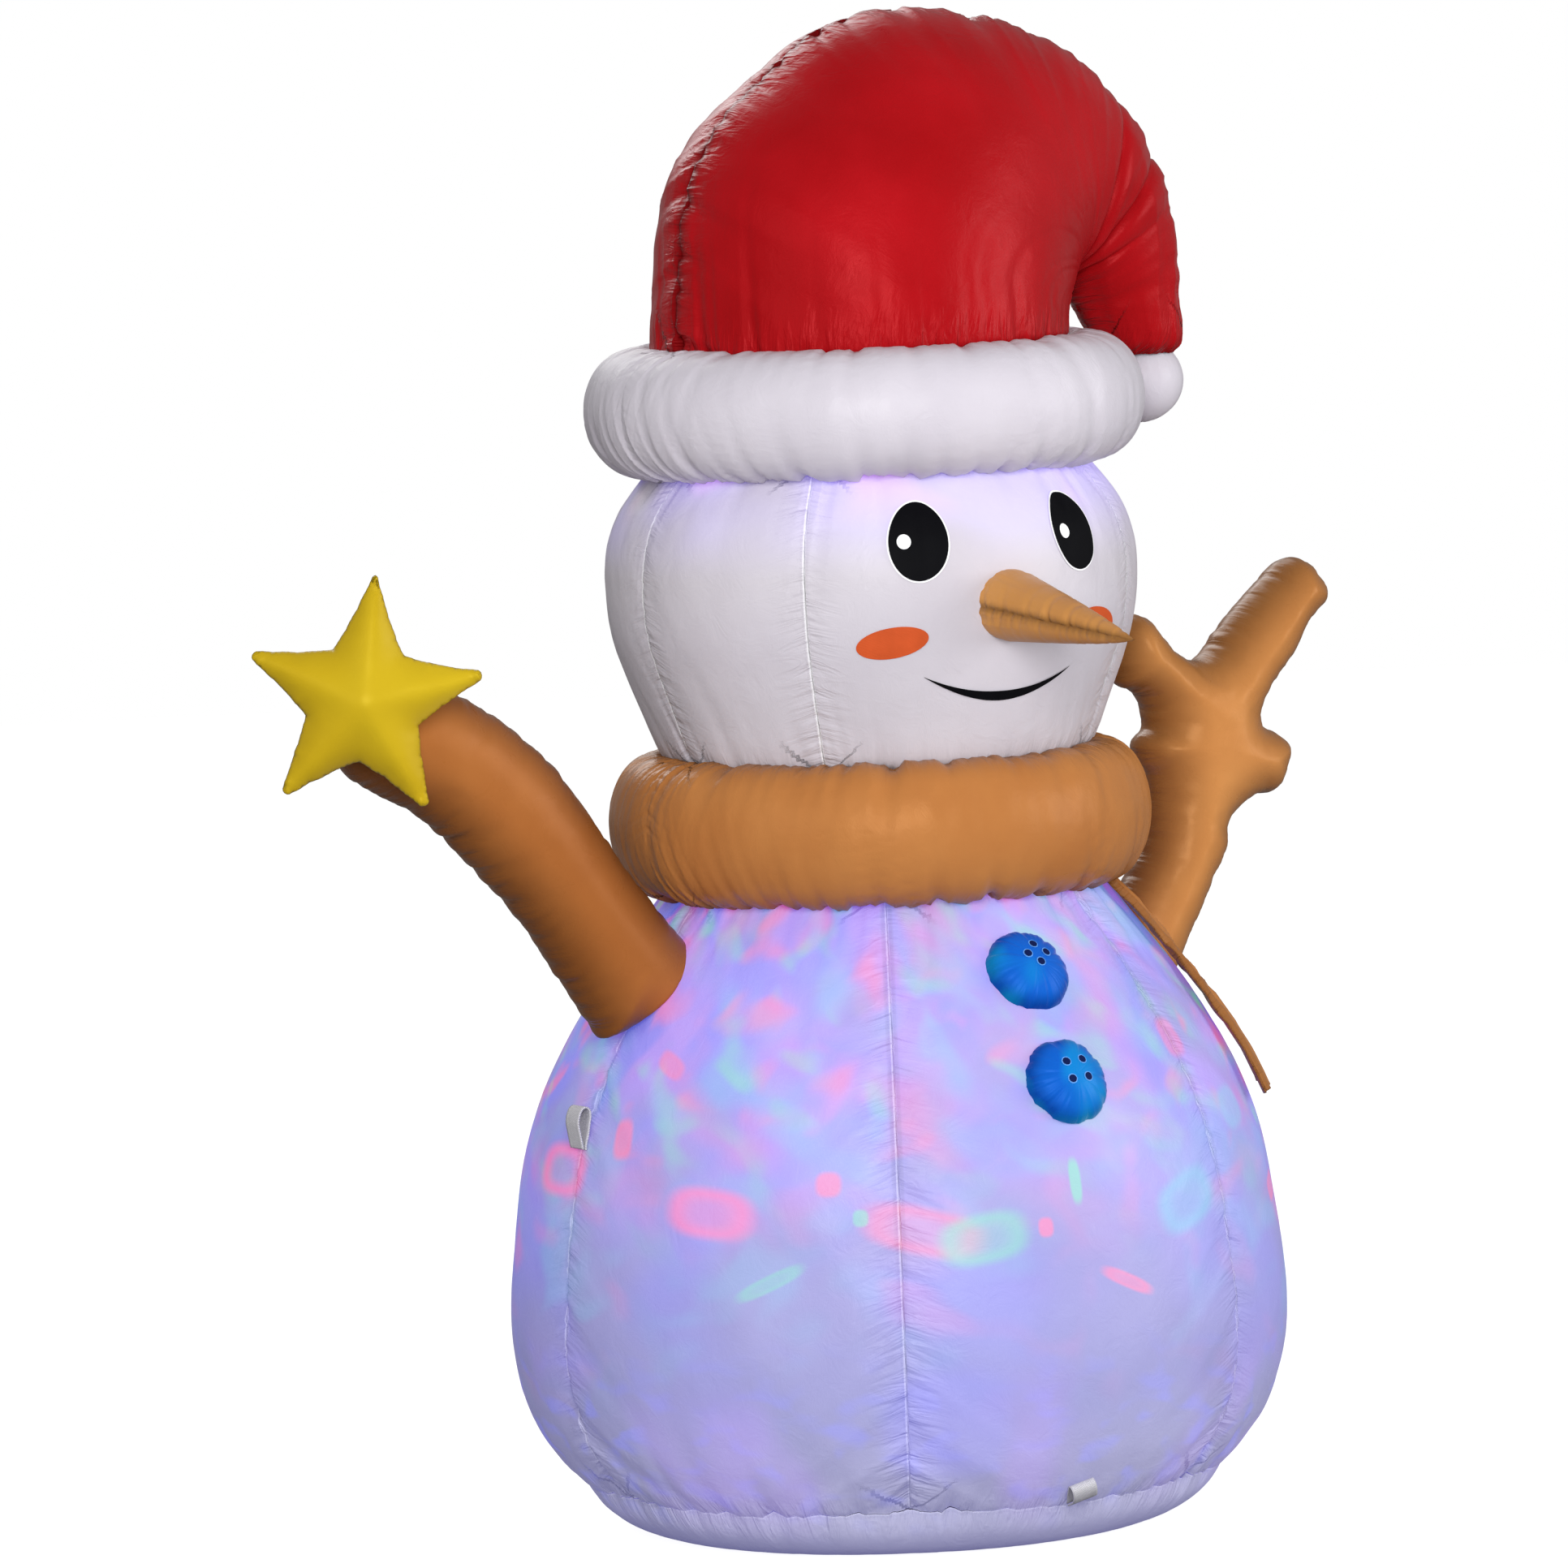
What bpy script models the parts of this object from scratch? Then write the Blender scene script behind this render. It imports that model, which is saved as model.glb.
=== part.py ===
"""Inflatable yard snowman: sewn fabric shell, its blower, and the rotating party light inside it.

Metres, +Z up, origin at the centre of the flat base. The face looks along -Y, so the snowman's own
left is +X. Azimuths are in degrees about Z, counted from the face (-Y) towards +X.
"""

import math

import bmesh
import bpy
from mathutils import Matrix, Vector
from mathutils.geometry import delaunay_2d_cdt

# ---------------------------------------------------------------- driving dimensions
FABRIC = 0.0015          # wall thickness given to every sewn panel
SEAM_GAP = 0.0006        # clearance between two panels at a seam
PILLOW_WALL = 0.0010     # wall of the two-panel arms and star, whose seams are sharp edges
GAP = 0.0003             # clearance between pieces that touch
PANEL_STEP = 10.0        # degrees of azimuth per facet on the body
HEAD_STEP, BAND_STEP = 11.25, 15.0

# Turned profiles of the shell, bottom to top, as (radius, height).
BASE_PROFILE = [(0.194, 0.0), (0.218, 0.006), (0.239, 0.020), (0.2530, 0.0385)]
BODY_PROFILE = [(0.2535, 0.0400), (0.2730, 0.0600), (0.2910, 0.0857), (0.3035, 0.1200), (0.3090, 0.1630),
                (0.3060, 0.2146), (0.2955, 0.2900), (0.2795, 0.3435), (0.2540, 0.3951), (0.2165, 0.4520),
                (0.1750, 0.5060)]
SCARF_RADIUS, SCARF_LOW, SCARF_HIGH, SCARF_BULGE = 0.1720, 0.5075, 0.6170, 0.0430
HEAD_PROFILE = [(0.1720, 0.6185), (0.1853, 0.6500), (0.1979, 0.6826), (0.2075, 0.7140), (0.2112, 0.7490),
                (0.2093, 0.7790), (0.1985, 0.8090), (0.1760, 0.8390)]
BRIM_RADIUS, BRIM_LOW, BRIM_HIGH, BRIM_BULGE = 0.1740, 0.8405, 0.9395, 0.0480
BAND_FULLNESS = 0.8      # under 1 makes a band's outline squarer than an ellipse

BODY_SEAMS = [-30, 30, 90, 150, 210, 270, 330]
BODY_NAMES = ["front", "front_left", "back_left", "back", "back_right", "front_right"]
HEAD_PANELS = {"face": (-45, 45), "side_left": (45, 90), "back_left": (90, 180),
               "back_right": (180, 270), "side_right": (270, 315)}

HAT_SEAM_GAP = 0.0014    # the crest seam's walls lean towards each other, so they keep more room
# Stations of the hat in the crest plane: the outer edge and the inner edge as (x, z), the half depth
# across the plane, and how far back the station's middle sits.
HAT_STATIONS = [((-0.1680, 0.9410), (0.1630, 0.9410), 0.164, 0.000),
                ((-0.1630, 1.0000), (0.1640, 0.9460), 0.162, 0.000),
                ((-0.1540, 1.0600), (0.1660, 0.9520), 0.158, 0.000),
                ((-0.1260, 1.1120), (0.1690, 0.9580), 0.151, 0.000),
                ((-0.0850, 1.1480), (0.1720, 0.9640), 0.141, 0.000),
                ((-0.0350, 1.1820), (0.1750, 0.9690), 0.129, 0.000),
                ((0.0300, 1.1990), (0.1780, 0.9740), 0.115, 0.001),
                ((0.1050, 1.1930), (0.1810, 0.9780), 0.099, 0.003),
                ((0.1780, 1.1700), (0.1840, 0.9810), 0.082, 0.006),
                ((0.2430, 1.1240), (0.1880, 0.9820), 0.066, 0.011),
                ((0.2850, 1.0680), (0.1950, 0.9800), 0.053, 0.016),
                ((0.3010, 1.0080), (0.2060, 0.9690), 0.044, 0.020),
                ((0.3050, 0.9600), (0.2200, 0.9470), 0.038, 0.022),
                ((0.3050, 0.9260), (0.2340, 0.9260), 0.034, 0.022)]
HAT_HALF_SIDES = 10      # facets round each of the hat's two panels
POMPOM_CENTRE, POMPOM_SIZE = Vector((0.2740, 0.0240, 0.8925)), Vector((0.0340, 0.0330, 0.0325))

RIGHT_ARM_OUTLINE = [(-0.1930, 0.4840), (-0.2380, 0.5400), (-0.2770, 0.5970), (-0.3110, 0.6370), (-0.3600, 0.6750),
                     (-0.4080, 0.6960), (-0.4480, 0.6930), (-0.4750, 0.6640), (-0.4740, 0.6310), (-0.4410, 0.6070),
                     (-0.4080, 0.5870), (-0.3600, 0.5390), (-0.3230, 0.4980), (-0.2800, 0.4340), (-0.2620, 0.4080)]
LEFT_ARM_OUTLINE = [(0.2590, 0.4100), (0.2810, 0.4480), (0.2985, 0.4800), (0.3165, 0.5120), (0.3200, 0.5330),
                    (0.3400, 0.5500), (0.3680, 0.5560), (0.3810, 0.5830), (0.3790, 0.5960), (0.3540, 0.6130),
                    (0.3610, 0.6320), (0.3850, 0.6600), (0.4020, 0.6850), (0.4215, 0.7050), (0.4150, 0.7260),
                    (0.4040, 0.7360), (0.3860, 0.7380), (0.3530, 0.7110), (0.3330, 0.6930), (0.3030, 0.6650),
                    (0.2740, 0.6760), (0.2520, 0.7020), (0.2260, 0.7000), (0.2185, 0.6750), (0.2260, 0.6500),
                    (0.2460, 0.6380), (0.2560, 0.6160), (0.2460, 0.6050), (0.2460, 0.5870), (0.2560, 0.5700),
                    (0.2480, 0.5200), (0.2160, 0.4740), (0.2060, 0.4550)]
ARM_DEPTH = 0.0440       # half depth of an inflated arm
ARM_FULL_AT = 0.0440     # distance from the seam at which an arm reaches its full depth

STAR_CENTRE = Vector((-0.4870, -0.0560, 0.6900))
STAR_POINT, STAR_WAIST, STAR_DEPTH = 0.1030, 0.0480, 0.0270
STAR_TURN, STAR_TILT = -28.0, -7.5       # azimuth that the star faces, and its turn in its own plane

NOSE_ROOT, NOSE_TIP = Vector((0.0, -0.2150, 0.7370)), Vector((0.0, -0.3900, 0.7170))
NOSE_RADIUS = 0.0300

EYE_AZIMUTH, EYE_HEIGHT, EYE_SIZE = 20.0, 0.7900, (0.0235, 0.0300)
CHEEK_AZIMUTH, CHEEK_HEIGHT, CHEEK_SIZE = 26.5, 0.7130, (0.0280, 0.0118)
MOUTH_HALF_ANGLE, MOUTH_END, MOUTH_LOW, MOUTH_THICK = 19.5, 0.6850, 0.6665, 0.0052
PRINT_OFF, PRINT_THICK = 0.0012, 0.0008  # an applied patch stands this far off its panel

BUTTON_HEIGHTS = {"button_upper": 0.4520, "button_lower": 0.3700}
BUTTON_RADIUS, BUTTON_DEPTH = 0.0345, 0.0190

TAIL_AZIMUTH, TAIL_HALF_WIDTH = 60.0, 0.0520
TAIL_PATH = [(0.1890, 0.5000), (0.2180, 0.4710), (0.2450, 0.4370), (0.2680, 0.4000), (0.2830, 0.3680), (0.2930, 0.3390)]
TAIL_THICK = 0.0030

LOOP_WEBBING = 0.0200    # width of the tie-down webbing
LOOP_THICK, LOOP_OFF = 0.0014, 0.0010
SIDE_LOOP_HEIGHT, SEAM_LOOP_HEIGHT = 0.3250, 0.0470

ZIP_START, ZIP_END, ZIP_HEIGHT, ZIP_TAPE_HALF = 161.0, 199.0, 0.3150, 0.0150
ZIP_SLIDER_AT = 163.0

BLOWER_HEIGHT, BLOWER_FACE = 0.1650, 0.3098
HOLE_RADIUS, FLANGE_RADIUS, FLANGE_BORE = 0.0600, 0.0680, 0.0405
CASING_RADIUS, CASING_BORE = 0.0460, 0.0430
BLADES = 7

LIGHT_BASE_RADIUS, POST_RADIUS, POST_TOP = 0.0550, 0.0100, 0.1100
HOUSING_RADIUS, HOUSING_TOP, DOME_RADIUS, DOME_WALL = 0.0360, 0.1500, 0.0400, 0.0020

COLOURS = {"white_fabric": ((0.78, 0.77, 0.82), 0.55, 0.0), "red_satin": ((0.45, 0.01, 0.02), 0.40, 0.0),
           "brown_satin": ((0.42, 0.16, 0.04), 0.42, 0.0), "yellow_satin": ((0.62, 0.47, 0.02), 0.45, 0.0),
           "blue_fabric": ((0.01, 0.10, 0.50), 0.45, 0.0), "orange_print": ((0.66, 0.10, 0.02), 0.60, 0.0),
           "black_print": ((0.01, 0.01, 0.01), 0.50, 0.0), "webbing": ((0.62, 0.62, 0.62), 0.80, 0.0),
           "nose_fabric": ((0.45, 0.20, 0.05), 0.45, 0.0), "black_plastic": ((0.02, 0.02, 0.02), 0.45, 0.0),
           "zip_metal": ((0.60, 0.60, 0.62), 0.30, 1.0), "steel": ((0.55, 0.55, 0.56), 0.30, 1.0),
           "circuit": ((0.02, 0.12, 0.05), 0.50, 0.0), "lens": ((0.80, 0.82, 0.85), 0.10, 0.0),
           "led": ((0.85, 0.80, 0.45), 0.20, 0.0)}


# ---------------------------------------------------------------- scene, materials, objects
for old in list(bpy.data.objects):
    bpy.data.objects.remove(old, do_unlink=True)

parts = bpy.data.collections.new("inflatable_snowman")
cutters = bpy.data.collections.new("cutters")
bpy.context.scene.collection.children.link(parts)
bpy.context.scene.collection.children.link(cutters)


def material(name):
    """The named finish, made the first time that it is asked for."""
    if name not in bpy.data.materials:
        colour, roughness, metallic = COLOURS[name]
        made = bpy.data.materials.new(name)
        made.use_nodes = True
        shader = made.node_tree.nodes["Principled BSDF"]
        shader.inputs["Base Color"].default_value = (*colour, 1.0)
        shader.inputs["Roughness"].default_value = roughness
        shader.inputs["Metallic"].default_value = metallic
    return bpy.data.materials[name]


def add_object(name, bm, finish, collection=parts, smooth=True):
    """A new object from a bmesh, with its faces turned outwards."""
    mesh = bpy.data.meshes.new(name)
    bm.to_mesh(mesh)
    bm.free()
    made = bpy.data.objects.new(name, mesh)
    collection.objects.link(made)
    if finish:
        mesh.materials.append(material(finish))
    if smooth:
        mesh.shade_smooth()
        mesh.set_sharp_from_angle(angle=math.radians(35))
    return made


def thicken(made, thickness, outwards=False):
    """Gives an open sheet its wall, inwards from the modelled face unless told otherwise."""
    wall = made.modifiers.new("wall", "SOLIDIFY")
    wall.thickness = thickness
    wall.offset = 1.0 if outwards else -1.0
    return made


def cut(made, cutter):
    """Takes a cutter away from a piece."""
    hole = made.modifiers.new("hole", "BOOLEAN")
    hole.operation = "DIFFERENCE"
    hole.object = cutter


def join(made, other):
    """Adds a second shape to a piece and keeps the two as one body."""
    weld = made.modifiers.new("join", "BOOLEAN")
    weld.operation = "UNION"
    weld.object = other


def as_tool(made):
    """Marks an object as a cutter or joined shape that the model doesn't keep on its own."""
    made.hide_render = True
    made.display_type = "WIRE"
    return made


def round_bar(name, radius, start, end, finish, sides=24, collection=parts, bore=None):
    """A turned cylinder from start to end, or a tube where a bore is given."""
    start, end = Vector(start), Vector(end)
    bm = bmesh.new()
    length = (end - start).length
    if bore is None:
        bmesh.ops.create_cone(bm, cap_ends=True, segments=sides, radius1=radius, radius2=radius, depth=length)
    else:
        corners = [(bore, -length / 2), (radius, -length / 2), (radius, length / 2), (bore, length / 2)]
        rings = [[bm.verts.new((r * math.cos(a), r * math.sin(a), z)) for r, z in corners]
                 for a in (2 * math.pi * i / sides for i in range(sides))]
        for i, ring in enumerate(rings):
            after = rings[(i + 1) % sides]
            for k in range(4):
                bm.faces.new((ring[k], after[k], after[(k + 1) % 4], ring[(k + 1) % 4]))
    turn = Vector((0, 0, 1)).rotation_difference(end - start).to_matrix().to_4x4()
    bmesh.ops.transform(bm, matrix=Matrix.Translation((start + end) / 2) @ turn, verts=bm.verts)
    bmesh.ops.recalc_face_normals(bm, faces=bm.faces)
    return add_object(name, bm, finish, collection)


def block(name, centre, size, finish, collection=parts, turn=None):
    """A box by its middle and its full sizes, turned about its middle where asked."""
    bm = bmesh.new()
    bmesh.ops.create_cube(bm, size=1.0)
    bmesh.ops.scale(bm, vec=size, verts=bm.verts)
    place = Matrix.Translation(centre) @ (turn or Matrix())
    bmesh.ops.transform(bm, matrix=place, verts=bm.verts)
    return add_object(name, bm, finish, collection, smooth=False)


def set_pivot(made, point):
    """Moves an object's origin to a point on its joint's axis without moving the piece."""
    made.data.transform(Matrix.Translation(-Vector(point)))
    made.location = point


# ---------------------------------------------------------------- round shells
def around(radius, azimuth, height):
    """A point by its distance from the Z axis, its azimuth from the face, and its height."""
    angle = math.radians(azimuth)
    return Vector((radius * math.sin(angle), -radius * math.cos(angle), height))


def radius_at(profile, height):
    """The radius of a turned profile at a height, on straight lines between its points."""
    for (r0, z0), (r1, z1) in zip(profile, profile[1:]):
        if z0 <= height <= z1:
            return r0 + (r1 - r0) * (height - z0) / (z1 - z0)
    return profile[0][0] if height < profile[0][1] else profile[-1][0]


def lean_at(profile, height):
    """The outward normal of a turned profile at a height, as (radial, vertical)."""
    step = 0.008
    rise = radius_at(profile, height + step) - radius_at(profile, height - step)
    along = Vector((rise, 2 * step)).normalized()
    return Vector((along.y, -along.x))


def band_profile(radius, low, high, bulge, steps=7):
    """The bulging outline of an inflated band: a half ellipse between its two sewn edges."""
    middle, half = (low + high) / 2, (high - low) / 2
    angles = [math.pi * (i / steps - 0.5) for i in range(steps + 1)]
    return [(radius + bulge * max(math.cos(a), 0.0) ** BAND_FULLNESS, middle + half * math.sin(a)) for a in angles]


def shell_panel(name, profile, start, end, finish, step=PANEL_STEP):
    """One sewn panel: a turned profile over part of a turn, with half the seam gap at each edge."""
    count = max(2, round((end - start) / step))
    bm = bmesh.new()
    columns = []
    for i in range(count + 1):
        column = []
        for radius, height in profile:
            inset = math.degrees(SEAM_GAP / 2 / radius)
            azimuth = start + inset + (end - start - 2 * inset) * i / count
            column.append(bm.verts.new(around(radius, azimuth, height)))
        columns.append(column)
    for here, after in zip(columns, columns[1:]):
        for k in range(len(profile) - 1):
            bm.faces.new((here[k], after[k], after[k + 1], here[k + 1]))
    return thicken(add_object(name, bm, finish), FABRIC)


def base_panel():
    """The floor of the snowman: a flat disc that curves up to the bottom seam."""
    sides = round(360 / PANEL_STEP)
    bm = bmesh.new()
    rings = [[bm.verts.new(around(r, 360 * i / sides, z)) for i in range(sides)] for r, z in BASE_PROFILE]
    bm.faces.new(list(reversed(rings[0])))
    for low, high in zip(rings, rings[1:]):
        for i in range(sides):
            bm.faces.new((low[i], low[(i + 1) % sides], high[(i + 1) % sides], high[i]))
    return thicken(add_object("base_panel", bm, "white_fabric"), FABRIC)


base_panel()
body = {}
for name, start, end in zip(BODY_NAMES, BODY_SEAMS, BODY_SEAMS[1:]):
    body[name] = shell_panel(f"body_panel_{name}", BODY_PROFILE, start, end, "white_fabric")
head = {}
for name, (start, end) in HEAD_PANELS.items():
    head[name] = shell_panel(f"head_panel_{name}", HEAD_PROFILE, start, end, "white_fabric", HEAD_STEP)
scarf_outline = band_profile(SCARF_RADIUS, SCARF_LOW, SCARF_HIGH, SCARF_BULGE)
brim_outline = band_profile(BRIM_RADIUS, BRIM_LOW, BRIM_HIGH, BRIM_BULGE)
for half, start in (("front", -90), ("back", 90)):
    shell_panel(f"scarf_band_{half}", scarf_outline, start, start + 180, "brown_satin", BAND_STEP)
    shell_panel(f"hat_brim_{half}", brim_outline, start, start + 180, "white_fabric", BAND_STEP)


# ---------------------------------------------------------------- hat
def hat_panel(name, side):
    """One of the hat's two panels, lofted between half ellipses that turn over to the hanging tail."""
    bm = bmesh.new()
    rows = []
    for outer, inner, depth, back in HAT_STATIONS:
        outer, inner = Vector(outer), Vector(inner)
        middle, half = (outer + inner) / 2, (outer - inner) / 2
        row = []
        for i in range(HAT_HALF_SIDES + 1):
            angle = math.pi * i / HAT_HALF_SIDES
            at = middle + half * math.cos(angle)
            y = back + side * (HAT_SEAM_GAP / 2 + (depth - HAT_SEAM_GAP / 2) * math.sin(angle))
            row.append(bm.verts.new((at.x, y, at.y)))
        rows.append(row)
    for low, high in zip(rows, rows[1:]):
        for i in range(HAT_HALF_SIDES):
            corners = (low[i], low[i + 1], high[i + 1], high[i])
            bm.faces.new(corners if side < 0 else tuple(reversed(corners)))
    return thicken(add_object(name, bm, "red_satin"), FABRIC)


hat_panel("hat_panel_front", -1)
hat_panel("hat_panel_back", 1)

bm = bmesh.new()
bmesh.ops.create_uvsphere(bm, u_segments=16, v_segments=10, radius=1.0)
bmesh.ops.transform(bm, matrix=Matrix.Translation(POMPOM_CENTRE) @ Matrix.Diagonal((*POMPOM_SIZE, 1)), verts=bm.verts)
add_object("hat_pompom", bm, "white_fabric")


# ---------------------------------------------------------------- arms and star: sewn pillows
def distance_to_edges(point, edges):
    """How far a point lies from the nearest of some straight edges in the plane."""
    best = math.inf
    for a, b in edges:
        along = b - a
        share = max(0.0, min(1.0, (point - a).dot(along) / along.length_squared))
        best = min(best, (point - a - along * share).length)
    return best


def pillow_half(name, outline, spacing, depth_at, place, side, finish, sewn):
    """One panel of an inflated pillow: its outline filled with a grid and raised by depth_at(distance)."""
    points = [Vector(p) for p in outline]
    count = len(points)
    edges = [(points[i], points[(i + 1) % count]) for i in range(count)]
    sewn_edges = edges[:-1] if not sewn else edges
    low = Vector((min(p.x for p in points), min(p.y for p in points)))
    high = Vector((max(p.x for p in points), max(p.y for p in points)))
    grid = list(points)
    for i in range(1, int((high.x - low.x) / spacing) + 1):
        for j in range(1, int((high.y - low.y) / spacing) + 1):
            at = low + Vector((i + 0.5 * (j % 2), j)) * spacing
            if distance_to_edges(at, edges) > 0.45 * spacing:
                grid.append(at)
    loop = [(i, (i + 1) % count) for i in range(count)]
    found, _, faces, *_ = delaunay_2d_cdt(grid, loop, [], 1, 1e-7)
    bm = bmesh.new()
    verts = []
    for at in found:
        depth = PILLOW_WALL + GAP / 2 + depth_at(distance_to_edges(at, sewn_edges))
        verts.append(bm.verts.new(place @ Vector((at.x, side * depth, at.y))))
    for face in faces:
        bm.faces.new([verts[i] for i in face])
    bm.normal_update()
    outward = place.to_3x3() @ Vector((0, side, 0))
    flat = sum((f.normal * f.calc_area() for f in bm.faces), Vector())
    if flat.dot(outward) < 0:
        bmesh.ops.reverse_faces(bm, faces=bm.faces)
    return thicken(add_object(name, bm, finish), PILLOW_WALL)


def rounded(full_depth, full_at):
    """The depth of an inflated pillow against the distance from its seam: a quarter ellipse, then flat."""
    def depth_at(distance):
        return full_depth * math.sqrt(1 - (1 - min(distance / full_at, 1)) ** 2)
    return depth_at


arm_depth = rounded(ARM_DEPTH, ARM_FULL_AT)
for side, face in ((-1, "front"), (1, "back")):
    pillow_half(f"right_arm_panel_{face}", RIGHT_ARM_OUTLINE, 0.020, arm_depth, Matrix(), side, "brown_satin", False)
    pillow_half(f"left_arm_panel_{face}", LEFT_ARM_OUTLINE, 0.017, arm_depth, Matrix(), side, "brown_satin", False)

star_outline = []
for i in range(10):
    angle = math.radians(90 + STAR_TILT + 36 * i)
    reach = STAR_POINT if i % 2 == 0 else STAR_WAIST
    star_outline.append((reach * math.cos(angle), reach * math.sin(angle)))
star_place = Matrix.Translation(STAR_CENTRE) @ Matrix.Rotation(math.radians(STAR_TURN), 4, "Z")


def star_depth(distance):
    """The star is thick at its heart and thins evenly towards its points."""
    return STAR_DEPTH * math.sqrt(max(distance, 0.0) / STAR_WAIST)


for side, face in ((-1, "front"), (1, "back")):
    pillow_half(f"star_panel_{face}", star_outline, 0.020, star_depth, star_place, side, "yellow_satin", True)


# ---------------------------------------------------------------- nose and face
def nose_half(name, above):
    """Half of the cone of the nose, from its open root to its blunt tip."""
    axis = NOSE_TIP - NOSE_ROOT
    forward = axis.normalized()
    up = (Vector((0, 0, 1)) - forward * forward.z).normalized()
    across = forward.cross(up)
    rows, steps, sides = [], 7, 8
    bm = bmesh.new()
    for k in range(steps + 1):
        share = k / steps
        radius = NOSE_RADIUS * (1 - share) ** 0.8 * 0.93 + 0.0022
        row = []
        for i in range(sides + 1):
            angle = math.pi * i / sides
            lift = SEAM_GAP / 2 + radius * math.sin(angle)
            offset = across * radius * math.cos(angle) + up * (lift if above else -lift)
            row.append(bm.verts.new(NOSE_ROOT + axis * share + offset))
        rows.append(row)
    for near, far in zip(rows, rows[1:]):
        for i in range(sides):
            corners = (near[i], near[i + 1], far[i + 1], far[i])
            bm.faces.new(tuple(reversed(corners)) if above else corners)
    bm.normal_update()
    mean = sum((f.normal * f.calc_area() for f in bm.faces), Vector())
    if mean.dot(up if above else -up) < 0:
        bmesh.ops.reverse_faces(bm, faces=bm.faces)
    return thicken(add_object(name, bm, "nose_fabric"), 0.0010)


nose_half("nose_panel_upper", True)
nose_half("nose_panel_lower", False)


def patch(name, rows, finish):
    """A thin patch that lies on the head, from rows of (azimuth, height) points."""
    bm = bmesh.new()
    grid = []
    for row in rows:
        line = []
        for azimuth, height in row:
            radius = radius_at(HEAD_PROFILE, height)
            lean = lean_at(HEAD_PROFILE, height)
            line.append(bm.verts.new(around(radius + PRINT_OFF * lean.x, azimuth, height + PRINT_OFF * lean.y)))
        grid.append(line)
    for low, high in zip(grid, grid[1:]):
        for i in range(len(low) - 1):
            bm.faces.new((low[i], low[i + 1], high[i + 1], high[i]))
    bmesh.ops.remove_doubles(bm, verts=bm.verts, dist=1e-5)
    bm.normal_update()
    return thicken(add_object(name, bm, finish), PRINT_THICK, outwards=True)


def oval_rows(azimuth, height, size, tilt=0.0, steps=8):
    """Rows of an oval on the head: chords that narrow to a short edge at its ends."""
    rows = []
    for k in range(steps + 1):
        angle = math.pi * (k / steps - 0.5)
        half = size[0] * max(math.cos(angle), 0.12)
        row = []
        for i in range(5):
            across = half * (i / 2 - 1)
            up = size[1] * math.sin(angle) + across * tilt
            degrees = math.degrees(across / radius_at(HEAD_PROFILE, height + up))
            row.append((azimuth + degrees, height + up))
        rows.append(row)
    return rows


for side, word in ((-1, "right"), (1, "left")):
    patch(f"eye_{word}", oval_rows(side * EYE_AZIMUTH, EYE_HEIGHT, EYE_SIZE), "black_print")
    patch(f"cheek_{word}", oval_rows(side * CHEEK_AZIMUTH, CHEEK_HEIGHT, CHEEK_SIZE, -0.10 * side), "orange_print")

mouth_rows = [[], []]
for i in range(13):
    share = i / 6 - 1
    height = MOUTH_LOW + (MOUTH_END - MOUTH_LOW) * share ** 2
    thick = MOUTH_THICK * max(1 - share ** 2, 0.12)
    mouth_rows[0].append((share * MOUTH_HALF_ANGLE, height - thick / 2))
    mouth_rows[1].append((share * MOUTH_HALF_ANGLE, height + thick / 2))
patch("mouth", mouth_rows, "black_print")


# ---------------------------------------------------------------- buttons
def button(name, height):
    """A puffed disc sewn flat against the front panel of the body."""
    lean = lean_at(BODY_PROFILE, height)
    foot = 0.0012
    centre = Vector((0, -(radius_at(BODY_PROFILE, height) + foot * lean.x), height + foot * lean.y))
    facing = Vector((0, -lean.x, lean.y))
    bm = bmesh.new()
    bmesh.ops.create_uvsphere(bm, u_segments=20, v_segments=10, radius=1.0)
    for vert in bm.verts:
        rise = vert.co.z
        back = 0.0 if rise < 0 else rise
        vert.co = Vector((vert.co.x * BUTTON_RADIUS, vert.co.y * BUTTON_RADIUS, back * BUTTON_DEPTH))
    flat = [v for v in bm.verts if v.co.z <= 1e-9 and v.co.xy.length < BUTTON_RADIUS * 0.999]
    bmesh.ops.delete(bm, geom=flat, context="VERTS")
    rim = [e for e in bm.edges if e.is_boundary]
    bmesh.ops.contextual_create(bm, geom=rim)
    bmesh.ops.recalc_face_normals(bm, faces=bm.faces)
    turn = Vector((0, 0, 1)).rotation_difference(facing).to_matrix().to_4x4()
    bmesh.ops.transform(bm, matrix=Matrix.Translation(centre) @ turn, verts=bm.verts)
    return add_object(name, bm, "blue_fabric")


for name, height in BUTTON_HEIGHTS.items():
    button(name, height)


# ---------------------------------------------------------------- hanging scarf tail
def scarf_tail():
    """A doubled strip sewn under the scarf, hanging over the shoulder. Its origin is on its sewn edge."""
    columns = 6
    bm = bmesh.new()
    rows = []
    for radius, height in TAIL_PATH:
        row = []
        for i in range(columns + 1):
            across = TAIL_HALF_WIDTH * (2 * i / columns - 1)
            row.append(bm.verts.new(around(radius, TAIL_AZIMUTH + math.degrees(across / radius), height)))
        rows.append(row)
    for high, low in zip(rows, rows[1:]):
        for i in range(columns):
            bm.faces.new((high[i], low[i], low[i + 1], high[i + 1]))
    made = thicken(add_object("scarf_tail", bm, "brown_satin"), TAIL_THICK, outwards=True)
    set_pivot(made, around(TAIL_PATH[0][0], TAIL_AZIMUTH, TAIL_PATH[0][1]))
    return made


scarf_tail()


# ---------------------------------------------------------------- tie-down loops
LOOP_PATH = [(0.0, 0.0022), (0.008, 0.0030), (0.016, 0.0046), (0.022, 0.0058), (0.0262, 0.0080), (0.0276, 0.0112),
             (0.0258, 0.0142), (0.0205, 0.0154), (0.0135, 0.0142), (0.0065, 0.0102), (0.0, 0.0062)]


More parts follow.
